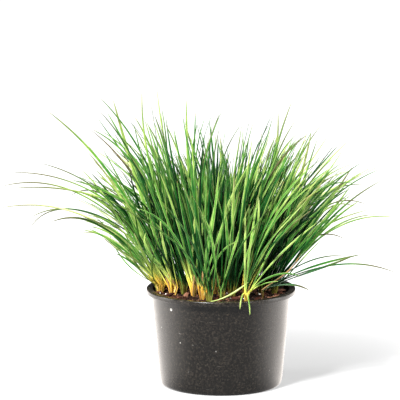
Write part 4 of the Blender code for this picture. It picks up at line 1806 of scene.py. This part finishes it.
@dataclass
class Studio:
    """The plain floor, the soft lights and the camera at the photo's viewing angle."""

    image: int = 400
    metres_per_pixel: float = 1.107 * MM
    rim_pixel: tuple[float, float] = (221.0, 287.5)
    rim_height: float = 108 * MM
    distance: float = 4.0
    rim_elevation: float = math.radians(11.6)
    sensor: float = 36.0
    floor_radius: float = 14.0
    floor_sides: int = 96
    floor_white: float = 0.25
    surround: float = 0.05
    seen_white: float = 1.05
    mirrored_tint: Colour = (1.0, 0.93, 0.87)

    def build(self) -> None:
        """Sets up the whole studio."""
        self._floor()
        self._world()
        self._lights()
        self._camera()
        bpy.context.scene.view_settings.view_transform = "Standard"

    def _floor(self) -> None:
        """A wide disc just under the pot's foot."""
        turn = circle(self.floor_sides)
        radii = np.array([0.02, 0.5, 2.0, self.floor_radius])[:, None]
        level = np.zeros((len(radii), self.floor_sides))
        points = np.stack([radii * np.cos(turn), radii * np.sin(turn), level], axis=-1).reshape(-1, 3)
        faces = [face[::-1] for face in tube_faces(len(radii), self.floor_sides, False)]
        floor = put_mesh("floor", points, faces + [list(range(self.floor_sides))], {})
        floor.data.materials.append(self._floor_finish())
        floor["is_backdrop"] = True

    def _floor_finish(self) -> bpy.types.Material:
        """Wires the floor's material.

        The camera sees it as pure white away from the pot. The pot's gloss sees it bright at the sides and
        behind, and dim in front, which leaves the wall dark in the middle and light along both sides.

        Returns:
            The material.
        """
        made, graph, shader = new_material("floor_white", 0.5)
        shader.inputs["Base Color"].default_value = (*[self.floor_white] * 3, 1)
        shader.inputs["Roughness"].default_value = 0.9
        place = graph.place()
        away = graph.node("ShaderNodeVectorMath", operation="LENGTH")
        graph.feed(away.inputs[0], place)
        out = away.outputs["Value"]
        back = graph.math("DIVIDE", graph.level(place, "Y"), out)
        ray = graph.node("ShaderNodeLightPath").outputs
        seen = graph.math("MULTIPLY", graph.span(out, 0.07, 0.6, 0.45, 1.0), ray["Is Camera Ray"])
        sides = graph.math("MULTIPLY", graph.span(back, -0.85, 0.1, 0.0, 3.0), graph.span(back, 0.99, 0.9))
        mirrored = graph.math("MULTIPLY", sides, ray["Is Glossy Ray"])
        tint = graph.mix(ray["Is Glossy Ray"], (1, 1, 1), self.mirrored_tint)
        graph.feed(shader.inputs["Emission Color"], tint)
        graph.feed(shader.inputs["Emission Strength"], graph.math("ADD", seen, mirrored))
        return made

    def _world(self) -> None:
        """A white surround, seen as pure white and lighting the plant more softly than that."""
        world = bpy.data.worlds.new("white_surround")
        world.use_nodes = True
        graph = Graph(world.node_tree)
        background = world.node_tree.nodes["Background"]
        background.inputs["Color"].default_value = (1, 1, 1, 1)
        seen = graph.node("ShaderNodeLightPath").outputs["Is Camera Ray"]
        strength = graph.math("MULTIPLY_ADD", seen, self.seen_white - self.surround, self.surround)
        graph.feed(background.inputs["Strength"], strength)
        bpy.context.scene.world = world

    def _lights(self) -> None:
        """A key from the upper left, a fill, a tall softbox at each side, and a light behind and above."""
        self._panel("key", (-0.9, -1.5, 1.9), (0.4, 0.4), 200)
        self._panel("fill", (1.4, -1.3, 1.2), (0.5, 0.5), 20)
        self._panel("left_softbox", (-1.5, 0.1, 0.7), (0.7, 1.5), 26)
        self._panel("right_softbox", (1.5, 0.0, 0.7), (0.7, 1.5), 26)
        self._panel("back", (0.4, 1.6, 1.7), (1.2, 1.0), 14)

    def _panel(
        self, name: str, place: tuple[float, float, float], size: tuple[float, float], power: float
    ) -> None:
        """Puts up one soft panel that faces the plant.

        Args:
            name: Its name.
            place: Where its middle is.
            size: Its width and height.
            power: Its power in watts.
        """
        data = bpy.data.lights.new(name, "AREA")
        data.shape = "RECTANGLE"
        data.size, data.size_y = size
        data.energy = power
        light = bpy.data.objects.new(name, data)
        light.location = place
        aim = Vector((0, 0, 0.2)) - Vector(place)
        light.rotation_euler = aim.to_track_quat("-Z", "Y").to_euler()
        bpy.context.scene.collection.objects.link(light)

    def _camera(self) -> None:
        """A long lens that looks down a little, with the middle of the rim on its own pixel.

        The aim is off the rim by the rim's distance from the picture's middle, so the camera looks down by
        less than the rim is seen from.
        """
        aside = (self.rim_pixel[0] - self.image / 2) * self.metres_per_pixel
        below = (self.rim_pixel[1] - self.image / 2) * self.metres_per_pixel
        down = self.rim_elevation - math.atan2(below, self.distance)
        look = Vector((0, math.cos(down), -math.sin(down)))
        up = Vector((0, math.sin(down), math.cos(down)))
        aim = Vector((0, 0, self.rim_height)) - Vector((aside, 0, 0)) + up * below
        data = bpy.data.cameras.new("camera")
        data.sensor_width = self.sensor
        data.lens = self.sensor * self.distance / (self.image * self.metres_per_pixel)
        camera = bpy.data.objects.new("camera", data)
        camera.location = aim - look * self.distance
        camera.rotation_euler = look.to_track_quat("-Z", "Y").to_euler()
        bpy.context.scene.collection.objects.link(camera)
        bpy.context.scene.camera = camera


def corners_of_bounds() -> list[list[float]]:
    """The whole object's box as plain lists."""
    return [[float(number) for number in corner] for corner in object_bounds()]


def main() -> None:
    """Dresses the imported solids, piece by piece."""
    logging.basicConfig(level=logging.INFO, format="%(name)s: %(message)s")
    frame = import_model()
    solids_box = corners_of_bounds()
    Studio().build()
    LOG.info("studio: floor, lights and camera")
    shared = SharedEffects.build()
    pot = Pot()
    pot.build(PotFinish().build(shared))
    LOG.info("pot: %d sides", pot.sides)
    mix = PottingMix(pot)
    mix.build(SOIL_FINISH.build(shared))
    LOG.info("potting mix: %d rings", mix.rings)
    for loose in (CRUMBS, BARK, GRIT):
        mix.scatter(loose, loose.finish.build(shared))
        LOG.info("on the potting mix: %d bits of %s", loose.count, loose.kind)
    leaves = Rush().build(frame["nodes"], np.array(solids_box), LeafFinish().build(shared))
    LOG.info("rush: %d leaves", leaves)


if __name__ == "__main__":
    main()
